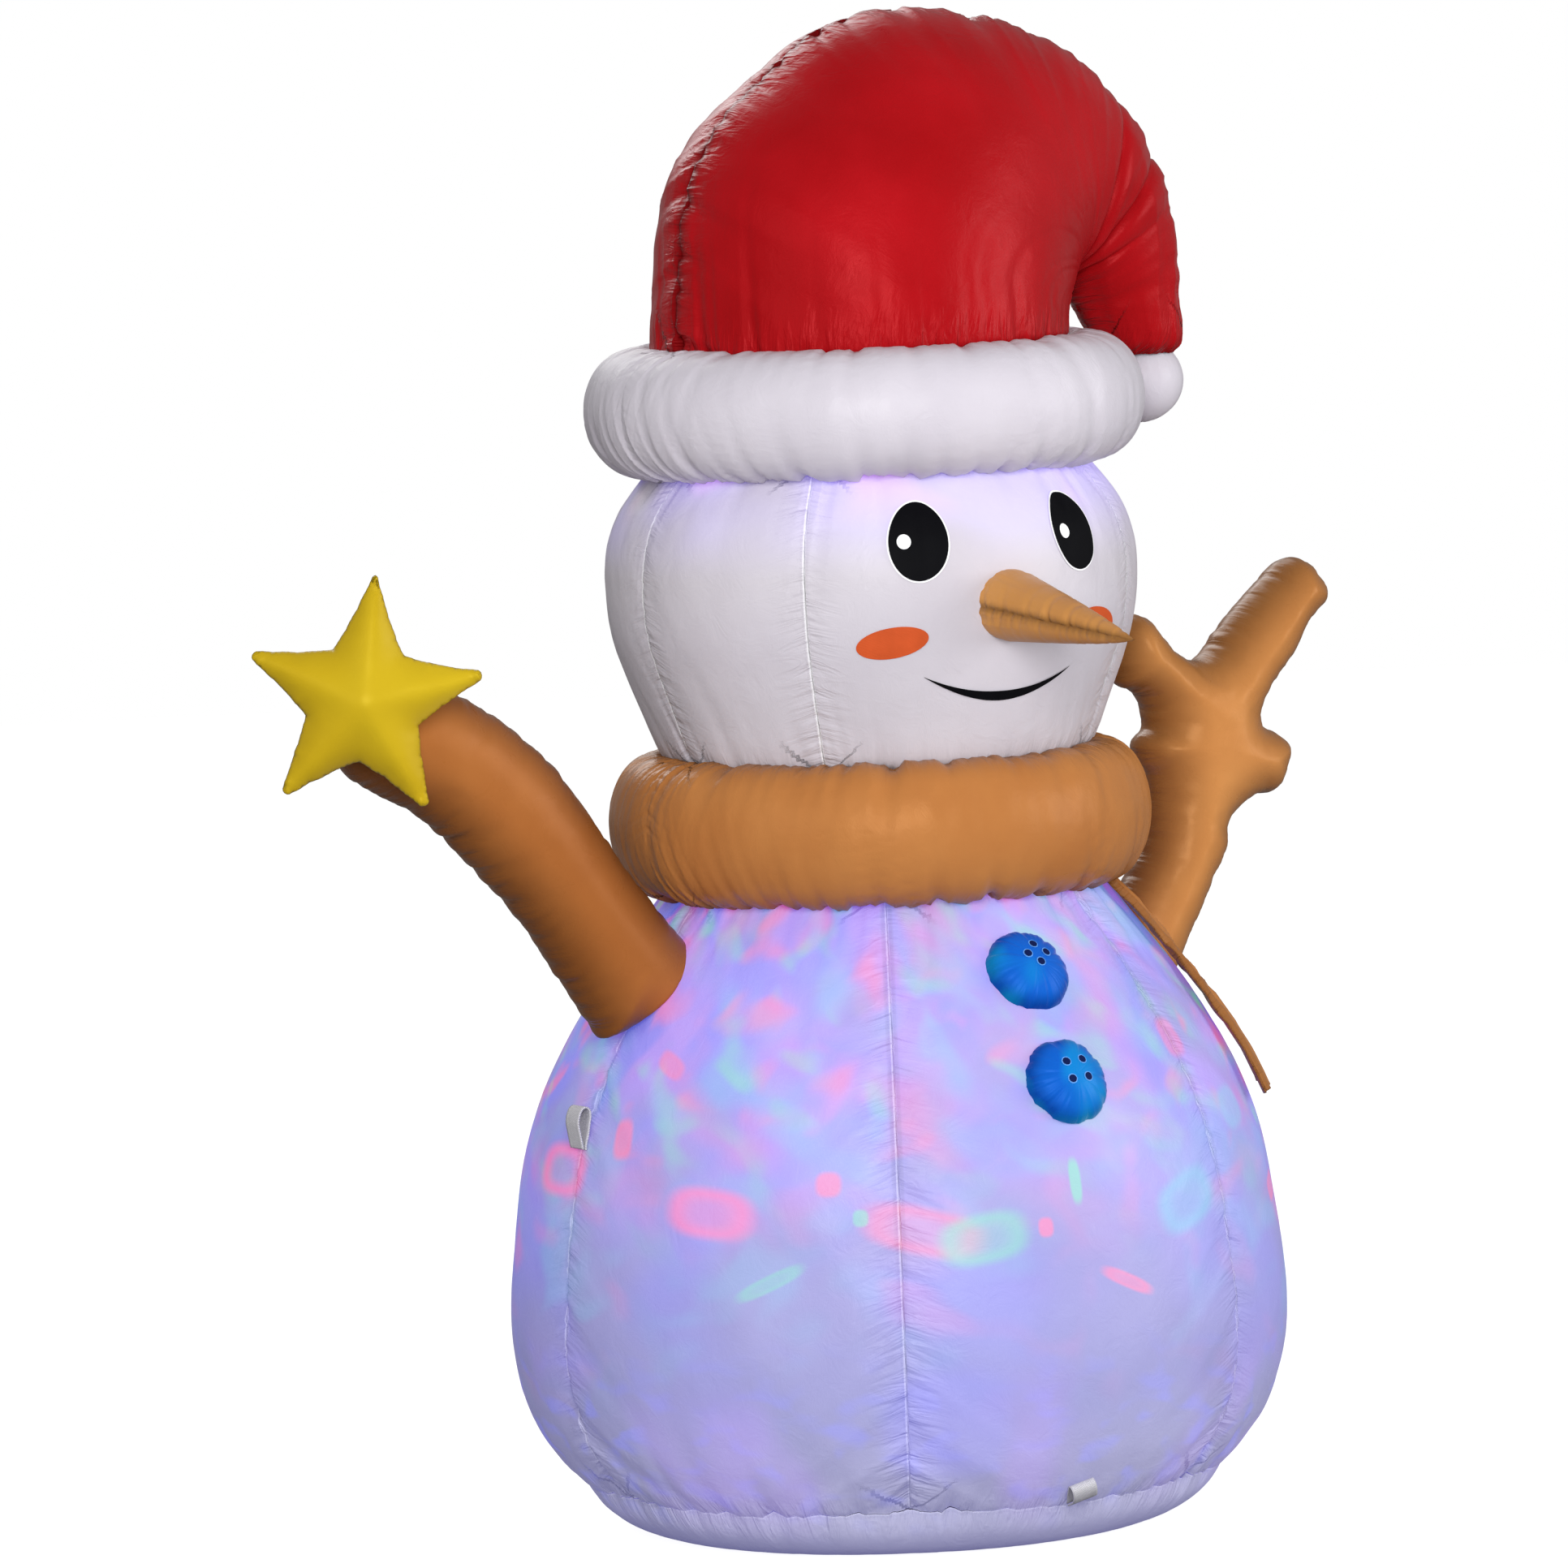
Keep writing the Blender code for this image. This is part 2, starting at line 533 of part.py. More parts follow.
def webbing_loop(name, azimuth, height):
    """A folded length of webbing: a drop-shaped loop that stands up from its two sewn ends at a seam."""
    lean = lean_at(BODY_PROFILE, height)
    outward = around(1, azimuth, 0)
    away = outward * lean.x + Vector((0, 0, lean.y))
    along = outward * -lean.y + Vector((0, 0, lean.x))
    across = along.cross(away).normalized()
    start = around(radius_at(BODY_PROFILE, height), azimuth, height)
    bm = bmesh.new()
    rows = []
    for up, out in LOOP_PATH:
        middle = start + along * up + away * (out + LOOP_OFF)
        rows.append([bm.verts.new(middle + across * LOOP_WEBBING * s) for s in (-0.5, 0.5)])
    for near, far in zip(rows, rows[1:]):
        bm.faces.new((near[0], near[1], far[1], far[0]))
    return thicken(add_object(name, bm, "webbing"), LOOP_THICK)


webbing_loop("tie_loop_side_right", 270, SIDE_LOOP_HEIGHT)
webbing_loop("tie_loop_side_left", 90, SIDE_LOOP_HEIGHT)
webbing_loop("tie_loop_front", 0, SEAM_LOOP_HEIGHT)
webbing_loop("tie_loop_back", 180, SEAM_LOOP_HEIGHT)


# ---------------------------------------------------------------- zip
def arc_bar(name, low, high, off, thick, finish):
    """A strip that follows the round of the back panel, standing off it by off."""
    count = round((ZIP_END - ZIP_START) / 2)
    bm = bmesh.new()
    rows = []
    for i in range(count + 1):
        azimuth = ZIP_START + (ZIP_END - ZIP_START) * i / count
        row = []
        for height in (low, high):
            radius = radius_at(BODY_PROFILE, height) + off
            row += [bm.verts.new(around(radius, azimuth, height)), bm.verts.new(around(radius + thick, azimuth, height))]
        rows.append(row)
    for here, after in zip(rows, rows[1:]):
        for a, b in ((0, 1), (1, 3), (3, 2), (2, 0)):
            bm.faces.new((here[a], here[b], after[b], after[a]))
    for row in (rows[0], rows[-1]):
        bm.faces.new((row[0], row[1], row[3], row[2]))
    bmesh.ops.recalc_face_normals(bm, faces=bm.faces)
    return add_object(name, bm, finish)


TAPE_THICK, TAPE_OFF, COIL_HALF, COIL_THICK = 0.0008, 0.0006, 0.0020, 0.0012
arc_bar("zip_tape", ZIP_HEIGHT - ZIP_TAPE_HALF, ZIP_HEIGHT + ZIP_TAPE_HALF, TAPE_OFF, TAPE_THICK, "white_fabric")
arc_bar("zip_coil", ZIP_HEIGHT - COIL_HALF, ZIP_HEIGHT + COIL_HALF, TAPE_OFF + TAPE_THICK + 0.0008, COIL_THICK,
        "white_fabric")

zip_out = around(1, ZIP_SLIDER_AT, 0)
zip_turn = Matrix.Rotation(math.radians(ZIP_SLIDER_AT), 4, "Z")
slider_foot = radius_at(BODY_PROFILE, ZIP_HEIGHT) + TAPE_OFF + TAPE_THICK + 0.0008 + COIL_THICK + 0.0009


def on_slider(sideways, out, up):
    """A point by its place on the zip slider: along the zip, away from the fabric, and up."""
    tangent = Vector((0, 0, 1)).cross(zip_out)
    return zip_out * (slider_foot + out) + tangent * sideways + Vector((0, 0, ZIP_HEIGHT + up))


slider = block("zip_slider", on_slider(0, 0.0010, 0), (0.0100, 0.0020, 0.0080), "zip_metal", turn=zip_turn)
for side in (-1, 1):
    ear = block(f"slider_ear_{side}", on_slider(side * 0.0030, 0.0031, 0), (0.0012, 0.0034, 0.0030), None, cutters, zip_turn)
    join(slider, as_tool(ear))
set_pivot(slider, (0, 0, ZIP_HEIGHT))

PULL_AXIS_OUT, PULL_LENGTH = 0.0038, 0.0200
pull_axis = on_slider(0, PULL_AXIS_OUT, 0)
pull = round_bar("zip_pull", 0.0009, on_slider(-0.0021, PULL_AXIS_OUT, 0), on_slider(0.0021, PULL_AXIS_OUT, 0),
                 "zip_metal", 10)
tab = block("pull_tab", on_slider(0, PULL_AXIS_OUT, -PULL_LENGTH / 2), (0.0034, 0.0012, PULL_LENGTH), None, cutters,
            zip_turn)
join(pull, as_tool(tab))
set_pivot(pull, pull_axis)


# ---------------------------------------------------------------- blower
blower = bpy.data.objects.new("blower_mount", None)
blower.location = (0, BLOWER_FACE, BLOWER_HEIGHT)
parts.objects.link(blower)


def on_blower(across, out, up):
    """A point by its place on the blower: sideways, out along its axis (+Y), and up."""
    return Vector((across, BLOWER_FACE + out, BLOWER_HEIGHT + up))


def blower_bar(name, radius, low, high, finish, sides=32, collection=parts, bore=None, at=(0.0, 0.0)):
    """A turned piece on the blower's axis, or beside it, between two depths."""
    start, end = on_blower(at[0], low, at[1]), on_blower(at[0], high, at[1])
    return round_bar(name, radius, start, end, finish, sides, collection, bore)


INLET_AT, INLET_RADIUS, INLET_BORE = (0.0, -0.0530), 0.0062, 0.0045

body_hole = as_tool(blower_bar("blower_hole", HOLE_RADIUS, -0.030, 0.030, None, 32, cutters))
cut(body["back"], body_hole)

flange = blower_bar("blower_flange", FLANGE_RADIUS, -0.0035, 0.0015, "black_plastic", 36, bore=FLANGE_BORE)
clamp = blower_bar("blower_clamp_ring", FLANGE_RADIUS, -0.0215, -0.0175, "black_plastic", 36, bore=CASING_RADIUS + 0.0006)
inlet_hole = as_tool(blower_bar("inlet_hole", INLET_RADIUS + GAP, -0.030, 0.030, None, 20, cutters, at=INLET_AT))
cut(flange, inlet_hole)
cut(clamp, inlet_hole)
grille = blower_bar("intake_grille", FLANGE_BORE - 0.0004, -0.0015, 0.0010, "black_plastic", 36)
SLOT_PITCH, SLOT_COUNT = 0.0088, 7
for i in range(SLOT_COUNT):
    across = (i - (SLOT_COUNT - 1) / 2) * SLOT_PITCH
    reach = math.sqrt((FLANGE_BORE - 0.0050) ** 2 - across ** 2)
    slot = block(f"grille_slot_{i}", on_blower(across, 0, 0), (0.0052, 0.02, 2 * reach), None, cutters)
    cut(grille, as_tool(slot))

blower_bar("blower_casing", CASING_RADIUS, -0.0600, -0.0038, "black_plastic", 32, bore=CASING_BORE)

motor = blower_bar("blower_motor", 0.0135, -0.0560, -0.0380, "steel", 20)
motor_bore = as_tool(blower_bar("motor_bore", 0.00206, -0.0500, -0.0300, None, 12, cutters))
cut(motor, motor_bore)

bridge = blower_bar("motor_bridge", 0.0138, -0.0593, -0.0563, "black_plastic", 20)
ARM_ROOT, ARM_TIP = 0.0100, CASING_BORE - 0.0004
for i in range(3):
    turn = Matrix.Rotation(math.radians(120 * i + 30), 4, "Y")
    out = Matrix.Translation(((ARM_ROOT + ARM_TIP) / 2, 0, 0))
    arm = block(f"bridge_arm_{i}", (0, 0, 0), (ARM_TIP - ARM_ROOT, 0.0024, 0.0050), None, cutters)
    arm.data.transform(Matrix.Translation(on_blower(0, -0.0578, 0)) @ turn @ out)
    join(bridge, as_tool(arm))

impeller = blower_bar("impeller", 0.0155, -0.0340, -0.0120, "black_plastic", 28)
shaft_bore = as_tool(blower_bar("impeller_bore", 0.0023, -0.0360, -0.0200, None, 12, cutters))
cut(impeller, shaft_bore)
BLADE_TIP, BLADE_THICK, BLADE_CHORD, BLADE_PITCH = 0.0405, 0.0016, 0.0200, 38.0
for i in range(BLADES):
    spin = Matrix.Rotation(2 * math.pi * i / BLADES, 4, "Y")
    pitch = Matrix.Rotation(math.radians(BLADE_PITCH), 4, "X")
    out = Matrix.Translation(((BLADE_TIP + 0.0140) / 2, 0, 0))
    blade = block(f"blade_{i}", (0, 0, 0), (BLADE_TIP - 0.0140, BLADE_THICK, BLADE_CHORD), None, cutters)
    blade.data.transform(Matrix.Translation(on_blower(0, -0.0230, 0)) @ spin @ out @ pitch)
    join(impeller, as_tool(blade))
set_pivot(impeller, on_blower(0, -0.0230, 0))
shaft = blower_bar("impeller_shaft", 0.0020, -0.0480, -0.0203, "steel", 12)
set_pivot(shaft, on_blower(0, -0.0230, 0))

inlet = blower_bar("power_inlet", INLET_RADIUS, -0.0130, 0.0050, "black_plastic", 20, at=INLET_AT)
inlet_bore = as_tool(blower_bar("inlet_bore", INLET_BORE, -0.0110, 0.0200, None, 20, cutters, at=INLET_AT))
cut(inlet, inlet_bore)
contacts = blower_bar("inlet_contacts", INLET_BORE - GAP, -0.0107, -0.0095, "steel", 20, at=INLET_AT)
for side in (-1, 1):
    at = (INLET_AT[0] + side * 0.0019, INLET_AT[1])
    pin = blower_bar(f"inlet_pin_{side}", 0.0007, -0.0100, -0.0060, None, 8, cutters, at=at)
    join(contacts, as_tool(pin))

for piece in (flange, clamp, grille, motor, bridge, inlet):
    piece.parent = blower
    piece.matrix_parent_inverse = Matrix.Translation(-blower.location)


# ---------------------------------------------------------------- rotating party light
def turned(name, outline, finish, sides=28):
    """A turned piece from a closed outline of (radius, height) points, none of them on the axis."""
    bm = bmesh.new()
    rings = [[bm.verts.new((r * math.cos(a), r * math.sin(a), z)) for r, z in outline]
             for a in (2 * math.pi * i / sides for i in range(sides))]
    count = len(outline)
    for i, ring in enumerate(rings):
        after = rings[(i + 1) % sides]
        for k in range(count):
            bm.faces.new((ring[k], after[k], after[(k + 1) % count], ring[(k + 1) % count]))
    bmesh.ops.recalc_face_normals(bm, faces=bm.faces)
    return add_object(name, bm, finish)


BASE_FOOT, BASE_TOP = 0.0019, 0.0140
HOUSING_LOW, HOUSING_WALL = POST_TOP + GAP, 0.0020
SPINDLE_RADIUS = 0.0020
turned("light_stand", [(0.0075, BASE_FOOT), (LIGHT_BASE_RADIUS, BASE_FOOT), (LIGHT_BASE_RADIUS, BASE_FOOT + 0.006),
                       (0.0300, BASE_TOP), (POST_RADIUS, BASE_TOP + 0.004), (POST_RADIUS, POST_TOP),
                       (0.0075, POST_TOP)], "black_plastic")
turned("light_housing", [(0.0060, HOUSING_LOW), (HOUSING_RADIUS - 0.004, HOUSING_LOW), (HOUSING_RADIUS, HOUSING_LOW + 0.006),
                         (HOUSING_RADIUS, HOUSING_TOP), (HOUSING_RADIUS - HOUSING_WALL, HOUSING_TOP),
                         (HOUSING_RADIUS - HOUSING_WALL, HOUSING_LOW + 0.007), (0.0300, HOUSING_LOW + HOUSING_WALL),
                         (0.0060, HOUSING_LOW + HOUSING_WALL)], "black_plastic")
dome_motor = round_bar("dome_motor", 0.0120, (0, 0, HOUSING_LOW + HOUSING_WALL + GAP), (0, 0, 0.1350), "steel", 20)
dome_motor_bore = as_tool(round_bar("dome_motor_bore", 0.00206, (0, 0, 0.1300), (0, 0, 0.1400), None, 12, cutters))
cut(dome_motor, dome_motor_bore)
round_bar("light_circuit_board", HOUSING_RADIUS - HOUSING_WALL - 0.0005, (0, 0, 0.1440), (0, 0, 0.1456), "circuit", 28,
          bore=0.0040)
round_bar("led_emitter", 0.0125, (0, 0, 0.1459), (0, 0, 0.1492), "led", 20, bore=0.0042)

DOME_FOOT, DOME_STEPS = 0.1535, 6
outline = []
for radius, order in ((DOME_RADIUS, range(DOME_STEPS + 1)), (DOME_RADIUS - DOME_WALL, range(DOME_STEPS, -1, -1))):
    for k in order:
        angle = math.radians(87) * k / DOME_STEPS
        outline.append((radius * math.cos(angle), DOME_FOOT + radius * math.sin(angle)))
turned("lens_dome", outline, "lens", 24)
spindle = round_bar("dome_spindle", SPINDLE_RADIUS, (0, 0, 0.1303), (0, 0, DOME_FOOT + DOME_RADIUS + 0.0010), "steel", 12)
spindle_collar = round_bar("spindle_collar", 0.0060, (0, 0, DOME_FOOT + DOME_RADIUS + 0.0004),
                           (0, 0, DOME_FOOT + DOME_RADIUS + 0.0024), None, 14, cutters)
join(spindle, as_tool(spindle_collar))

# Air and light pass from the body into the arms and from the head into the nose through holes in the panels.
for name, side in (("right", -1), ("left", 1)):
    hole = round_bar(f"{name}_arm_hole", 0.0260, (side * 0.10, 0, 0.4470), (side * 0.30, 0, 0.4470), None, 20, cutters)
    as_tool(hole)
    for half in ("front", "back"):
        cut(body[f"{half}_{name}"], hole)
nose_hole = as_tool(round_bar("nose_hole", 0.0180, (0, -0.1500, 0.7370), (0, -0.2500, 0.7370), None, 20, cutters))
cut(head["face"], nose_hole)
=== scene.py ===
"""Yard snowman: a sewn nylon shell held up by a blower, with a party light that turns inside it.

Metres, +Z up. The face looks along -Y. Azimuths are degrees about Z from the face towards +X.
"""
import math

import bmesh
import bpy
import numpy as np
from mathutils import Matrix, Vector
from mathutils.bvhtree import BVHTree
from mathutils.geometry import delaunay_2d_cdt


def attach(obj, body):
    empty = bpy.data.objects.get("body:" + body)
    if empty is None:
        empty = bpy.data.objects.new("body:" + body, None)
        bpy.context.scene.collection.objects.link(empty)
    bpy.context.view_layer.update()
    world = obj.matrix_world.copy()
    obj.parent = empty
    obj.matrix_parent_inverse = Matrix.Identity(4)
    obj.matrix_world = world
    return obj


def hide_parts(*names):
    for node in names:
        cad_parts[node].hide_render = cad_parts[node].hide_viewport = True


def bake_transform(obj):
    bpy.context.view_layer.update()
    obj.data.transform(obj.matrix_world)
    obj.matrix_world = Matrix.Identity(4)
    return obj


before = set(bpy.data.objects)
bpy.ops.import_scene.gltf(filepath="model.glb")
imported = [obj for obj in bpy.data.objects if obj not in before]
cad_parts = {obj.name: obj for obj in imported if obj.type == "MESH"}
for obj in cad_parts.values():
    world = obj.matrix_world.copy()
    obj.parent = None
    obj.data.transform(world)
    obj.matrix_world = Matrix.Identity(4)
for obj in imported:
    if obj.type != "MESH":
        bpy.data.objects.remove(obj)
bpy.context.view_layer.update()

# ---------------------------------------------------------------- camera, floor and studio light
# A long lens eight metres off at eye height, and a white room lit by four large soft boxes.
aim = Vector((-0.0652, 0.0377, 0.5900))
camera_azimuth, camera_rise, camera_roll, camera_distance = -30.0, 4.75, 2.25, 8.0
picture_width = 1.2452
rise = math.radians(camera_rise)
turn = math.radians(camera_azimuth)
towards_camera = Vector((math.sin(turn) * math.cos(rise), -math.cos(turn) * math.cos(rise), math.sin(rise)))
lens = bpy.data.cameras.new("camera")
lens.sensor_width = 36.0
lens.lens = lens.sensor_width * camera_distance / picture_width
camera = bpy.data.objects.new("camera", lens)
bpy.context.scene.collection.objects.link(camera)
camera.location = aim + towards_camera * camera_distance
upright = (-towards_camera).to_track_quat("-Z", "Y").to_matrix().to_4x4()
rolled = Matrix.Rotation(math.radians(-camera_roll), 4, "Z")
camera.matrix_world = Matrix.Translation(camera.location) @ upright @ rolled
bpy.context.scene.camera = camera
bpy.context.scene.view_settings.view_transform = "Standard"

wall_light, wall_seen = 0.28, 1.0
room = bpy.data.worlds.new("room")
bpy.context.scene.world = room
room.use_nodes = True
room_nodes, room_links = room.node_tree.nodes, room.node_tree.links
room_nodes["Background"].inputs["Color"].default_value = (1.0, 1.0, 1.0, 1.0)
brightness = room_nodes.new("ShaderNodeMapRange")
brightness.inputs[3].default_value, brightness.inputs[4].default_value = wall_light, wall_seen
room_links.new(room_nodes.new("ShaderNodeLightPath").outputs["Is Camera Ray"], brightness.inputs[0])
room_links.new(brightness.outputs[0], room_nodes["Background"].inputs["Strength"])


def soft_box(name, place, size, power):
    """A square lamp that faces the middle of the snowman."""
    lamp = bpy.data.lights.new(name, "AREA")
    lamp.size = size
    lamp.energy = power
    made = bpy.data.objects.new(name, lamp)
    made.location = place
    made.rotation_euler = (aim - Vector(place)).to_track_quat("-Z", "Y").to_euler()
    bpy.context.scene.collection.objects.link(made)


soft_box("key_light", (-1.8, -3.8, 1.6), 1.6, 138)
soft_box("left_light", (-3.6, -1.6, 1.8), 2.2, 34)
soft_box("fill_light", (3.0, -2.6, 1.4), 2.0, 76)
soft_box("back_light", (0.6, 3.4, 3.0), 2.4, 60)

bpy.ops.mesh.primitive_circle_add(vertices=96, radius=9.0, fill_type="NGON")
floor = bpy.context.object
floor.name = "studio_floor"
floor_grey, floor_seen = 0.26, 0.93
floor_paper = bpy.data.materials.new("floor_paper")
floor_paper.use_nodes = True
paper_nodes, paper_links = floor_paper.node_tree.nodes, floor_paper.node_tree.links
paper = paper_nodes["Principled BSDF"].inputs
paper["Base Color"].default_value = (floor_grey, floor_grey, floor_grey, 1.0)
paper["Roughness"].default_value = 0.9
paper["Emission Color"].default_value = (1.0, 1.0, 1.0, 1.0)
floor_glow = paper_nodes.new("ShaderNodeMath")
floor_glow.operation = "MULTIPLY"
floor_glow.inputs[1].default_value = floor_seen
paper_links.new(paper_nodes.new("ShaderNodeLightPath").outputs["Is Camera Ray"], floor_glow.inputs[0])
paper_links.new(floor_glow.outputs[0], paper["Emission Strength"])
floor.data.materials.append(floor_paper)


# ---------------------------------------------------------------- body
# Six tall panels and a floor disc of thin white nylon, sewn inside out and held tight by the air.
# The stitching gathers the cloth, so each seam sits in a shallow valley with small folds across it.
floor_line = [(0.000, 0.0000), (0.120, 0.0000), (0.188, 0.0005), (0.216, 0.0055), (0.239, 0.0200),
              (0.2533, 0.0388)]
body_line = [(0.2533, 0.0388), (0.2730, 0.0600), (0.2910, 0.0857), (0.3035, 0.1200), (0.3090, 0.1630),
             (0.3060, 0.2146), (0.2955, 0.2900), (0.2795, 0.3435), (0.2540, 0.3951), (0.2165, 0.4520),
             (0.1750, 0.5060), (0.1600, 0.5220)]
body_seams = [-150, -90, -30, 30, 90, 150]


def smooth_line(points, count):
    """A smooth curve through the points (Catmull-Rom), sampled evenly by its length."""
    points = np.array(points, float)
    before, after = 2 * points[0] - points[1], 2 * points[-1] - points[-2]
    padded_points = np.vstack([before, points, after])
    fine = []
    for i in range(len(points) - 1):
        a, b, c, d = padded_points[i:i + 4]
        for t in np.linspace(0, 1, 24, endpoint=False):
            fine.append(0.5 * (2 * b + (c - a) * t + (2 * a - 5 * b + 4 * c - d) * t ** 2
                               + (3 * b - a - 3 * c + d) * t ** 3))
    fine = np.array(fine + [points[-1]])
    run = np.concatenate([[0], np.cumsum(np.linalg.norm(np.diff(fine, axis=0), axis=1))])
    even = np.linspace(0, run[-1], count)
    return np.column_stack([np.interp(even, run, fine[:, k]) for k in range(fine.shape[1])]), even


def ripple(run, length, seed, loop=None):
    """Uneven folds along a run: a few waves near one length, some stretches stronger than others.

    Where the run closes on itself, loop is its whole length, and the folds meet at the join."""
    chance = np.random.default_rng(seed)
    total, weight = 0.0, 0.0
    swell = 0.0
    for k in range(6):
        wave = length * chance.uniform(0.6, 1.9)
        slow = length * chance.uniform(4, 11)
        if loop:
            wave, slow = loop / max(1, round(loop / wave)), loop / max(1, round(loop / slow))
        share = chance.uniform(0.5, 1.0)
        total = total + share * np.sin(2 * math.pi * run / wave + chance.uniform(0, 6.3))
        swell = swell + np.sin(2 * math.pi * run / slow + chance.uniform(0, 6.3))
        weight += share * 0.6
    total = total / weight
    creased = 1 - 2 * np.abs(np.tanh(1.2 * total))
    return (0.55 * total + 0.45 * creased) * (0.75 + 0.25 * np.clip(swell / 2, -1, 1))


def gathers(edge, run, loop, *layers):
    """Folds that start at an edge and die out: each layer is (height, reach, fold length, slant, seed).

    The slant is how far a fold moves along the edge for each metre that it runs away from it."""
    return sum(height * np.exp(-edge / reach) * ripple(run + slant * edge, length, seed, loop)
               for height, reach, length, slant, seed in layers)


def set_down(name, mesh, smooth=True):
    """Puts a mesh, or a bmesh that is finished with, into the scene."""
    if isinstance(mesh, bmesh.types.BMesh):
        built, mesh = mesh, bpy.data.meshes.new(name)
        built.to_mesh(mesh)
        built.free()
    made = bpy.data.objects.new(name, mesh)
    bpy.context.scene.collection.objects.link(made)
    if smooth:
        mesh.shade_smooth()
    return made


def sewn_on(piece, cloth, replaced=()):
    """Gives a piece its cloth. It rides on the snowman in place of the frame's plain solids."""
    piece.data.materials.append(cloth)
    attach(piece, "snowman")
    if replaced:
        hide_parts(*replaced)


def cloth_grid(name, points, side, run, closed=True):
    """A mesh from rows of points, with each point's distance to its seam and its place along it."""
    rows, columns = points.shape[:2]
    index = np.arange(rows * columns).reshape(rows, columns)
    here, after = (index, np.roll(index, -1, axis=1)) if closed else (index[:, :-1], index[:, 1:])
    faces = np.stack([here[:-1], after[:-1], after[1:], here[1:]], axis=-1).reshape(-1, 4)
    mesh = bpy.data.meshes.new(name)
    mesh.from_pydata(points.reshape(-1, 3).tolist(), [], faces.tolist())
    for label, values in (("seam_side", side), ("seam_run", run)):
        layer = mesh.attributes.new(label, "FLOAT", "POINT")
        spread = np.broadcast_to(values, (rows, columns))
        layer.data.foreach_set("value", spread.astype(np.float32).ravel())
    return set_down(name, mesh)


def azimuths_between(seams, most, least):
    """Azimuths round a whole turn, close together at each seam and wider between them."""
    found = []
    for start, end in zip(seams, [*seams[1:], seams[0] + 360]):
        count = most if end - start > 50 else least
        share = np.arange(count) / count
        found.append(start + (end - start) * (share - 0.72 * np.sin(2 * math.pi * share) / (2 * math.pi)))
    return np.concatenate(found)


def nearest_seam(azimuths, seams):
    """For each azimuth: the angle to its nearest seam, the seam's number, its share of the half panel."""
    gaps = (azimuths[:, None] - np.array(seams)[None] + 180) % 360 - 180
    number = np.abs(gaps).argmin(axis=1)
    gap = gaps[np.arange(len(azimuths)), number]
    ends = np.sort(np.array(seams) % 360)
    widths = np.diff(np.append(ends, ends[0] + 360))
    slot = np.searchsorted(ends, azimuths % 360, side="right") - 1
    return gap, number, np.clip(2 * np.abs(gap) / widths[slot], 0, 1)


def turned_cloth(name, line, length_of, azimuths, push):
    """A turned shell. Each point is pushed out along its normal by push(azimuth, run, radius)."""
    line = np.array(line)
    tangent = np.gradient(line, axis=0)
    tangent /= np.linalg.norm(tangent, axis=1)[:, None]
    radius, height = line[:, :1], line[:, 1:]
    out, up = tangent[:, 1:], -tangent[:, :1]
    distance, side, run = push(azimuths[None, :], length_of[:, None], radius)
    r, z = radius + out * distance, height + up * distance
    angle = np.radians(azimuths)[None, :]
    return cloth_grid(name, np.stack([r * np.sin(angle), -r * np.cos(angle), z + 0 * angle], axis=-1), side,
                      run)


body_azimuths = azimuths_between(body_seams, 64, 64)
body_gap, body_number, body_across = nearest_seam(body_azimuths, body_seams)
gore_rise, seam_valley, body_mean = 0.0055, 0.0008, 0.28
body_turn = 2 * math.pi * body_mean
foot_fold, foot_crease, foot_pinch = 0.0058, 0.0016, 0.0014


def body_push(azimuth, run, radius):
    """The panels swell between their seams, gather at them, and gather more at the floor and the neck."""
    around_run = np.radians(azimuth) * body_mean
    side = np.abs(np.radians(body_gap))[None, :] * radius
    slant = run + 0.35 * side + 0.7 * body_number[None, :] + 0.02 * (body_gap > 0)[None, :]
    top = run.max() - run
    swell = -gore_rise * (1 - body_across[None, :]) ** 2 * np.clip(radius / body_mean, 0.5, 1)
    valley = -seam_valley * np.exp(-side / 0.004)
    beside = gathers(side, slant, None, (0.0015, 0.014, 0.013, 0.0, 3), (0.0032, 0.060, 0.052, 0.5, 5))
    uneven = np.sin(around_run * 31) * 0.35 + 1
    foot = gathers(run, around_run, body_turn, (foot_fold, 0.040 * uneven, 0.030, 0.10, 7),
                   (foot_crease, 0.016, 0.012, 0.0, 8)) - foot_pinch * np.exp(-run / 0.005)
    neck = gathers(top, around_run, body_turn, (0.0050, 0.045, 0.024, 0.12, 9))
    soft = 0.0012 * ripple(around_run + 0.6 * run, 0.115, 11, body_turn) * (1 - np.exp(-run / 0.02))
    edge = np.minimum(run, top)
    push = swell + (valley + beside) * (1 - np.exp(-run / 0.006)) + foot + neck + soft
    return push, np.minimum(side, edge), np.where(edge < side, around_run, slant)


def floor_push(azimuth, run, radius):
    """The floor disc's gathers line up with the body's at the bottom seam and die out where it lies flat."""
    around_run = np.radians(azimuth) * body_mean
    edge = run.max() - run
    foot = gathers(edge, around_run, body_turn, (foot_fold, 0.026, 0.030, 0.0, 7),
                   (foot_crease, 0.012, 0.012, 0.0, 8)) - foot_pinch * np.exp(-edge / 0.005)
    swell = -gore_rise * (1 - body_across[None, :]) ** 2 * np.clip(radius / body_mean, 0.5,
                                                                   1) * np.exp(-edge / 0.04)
    flat = np.clip(edge / 0.10, 0, 1)
    return (foot + swell) * (1 - flat), edge + 0 * azimuth, around_run + 0 * run


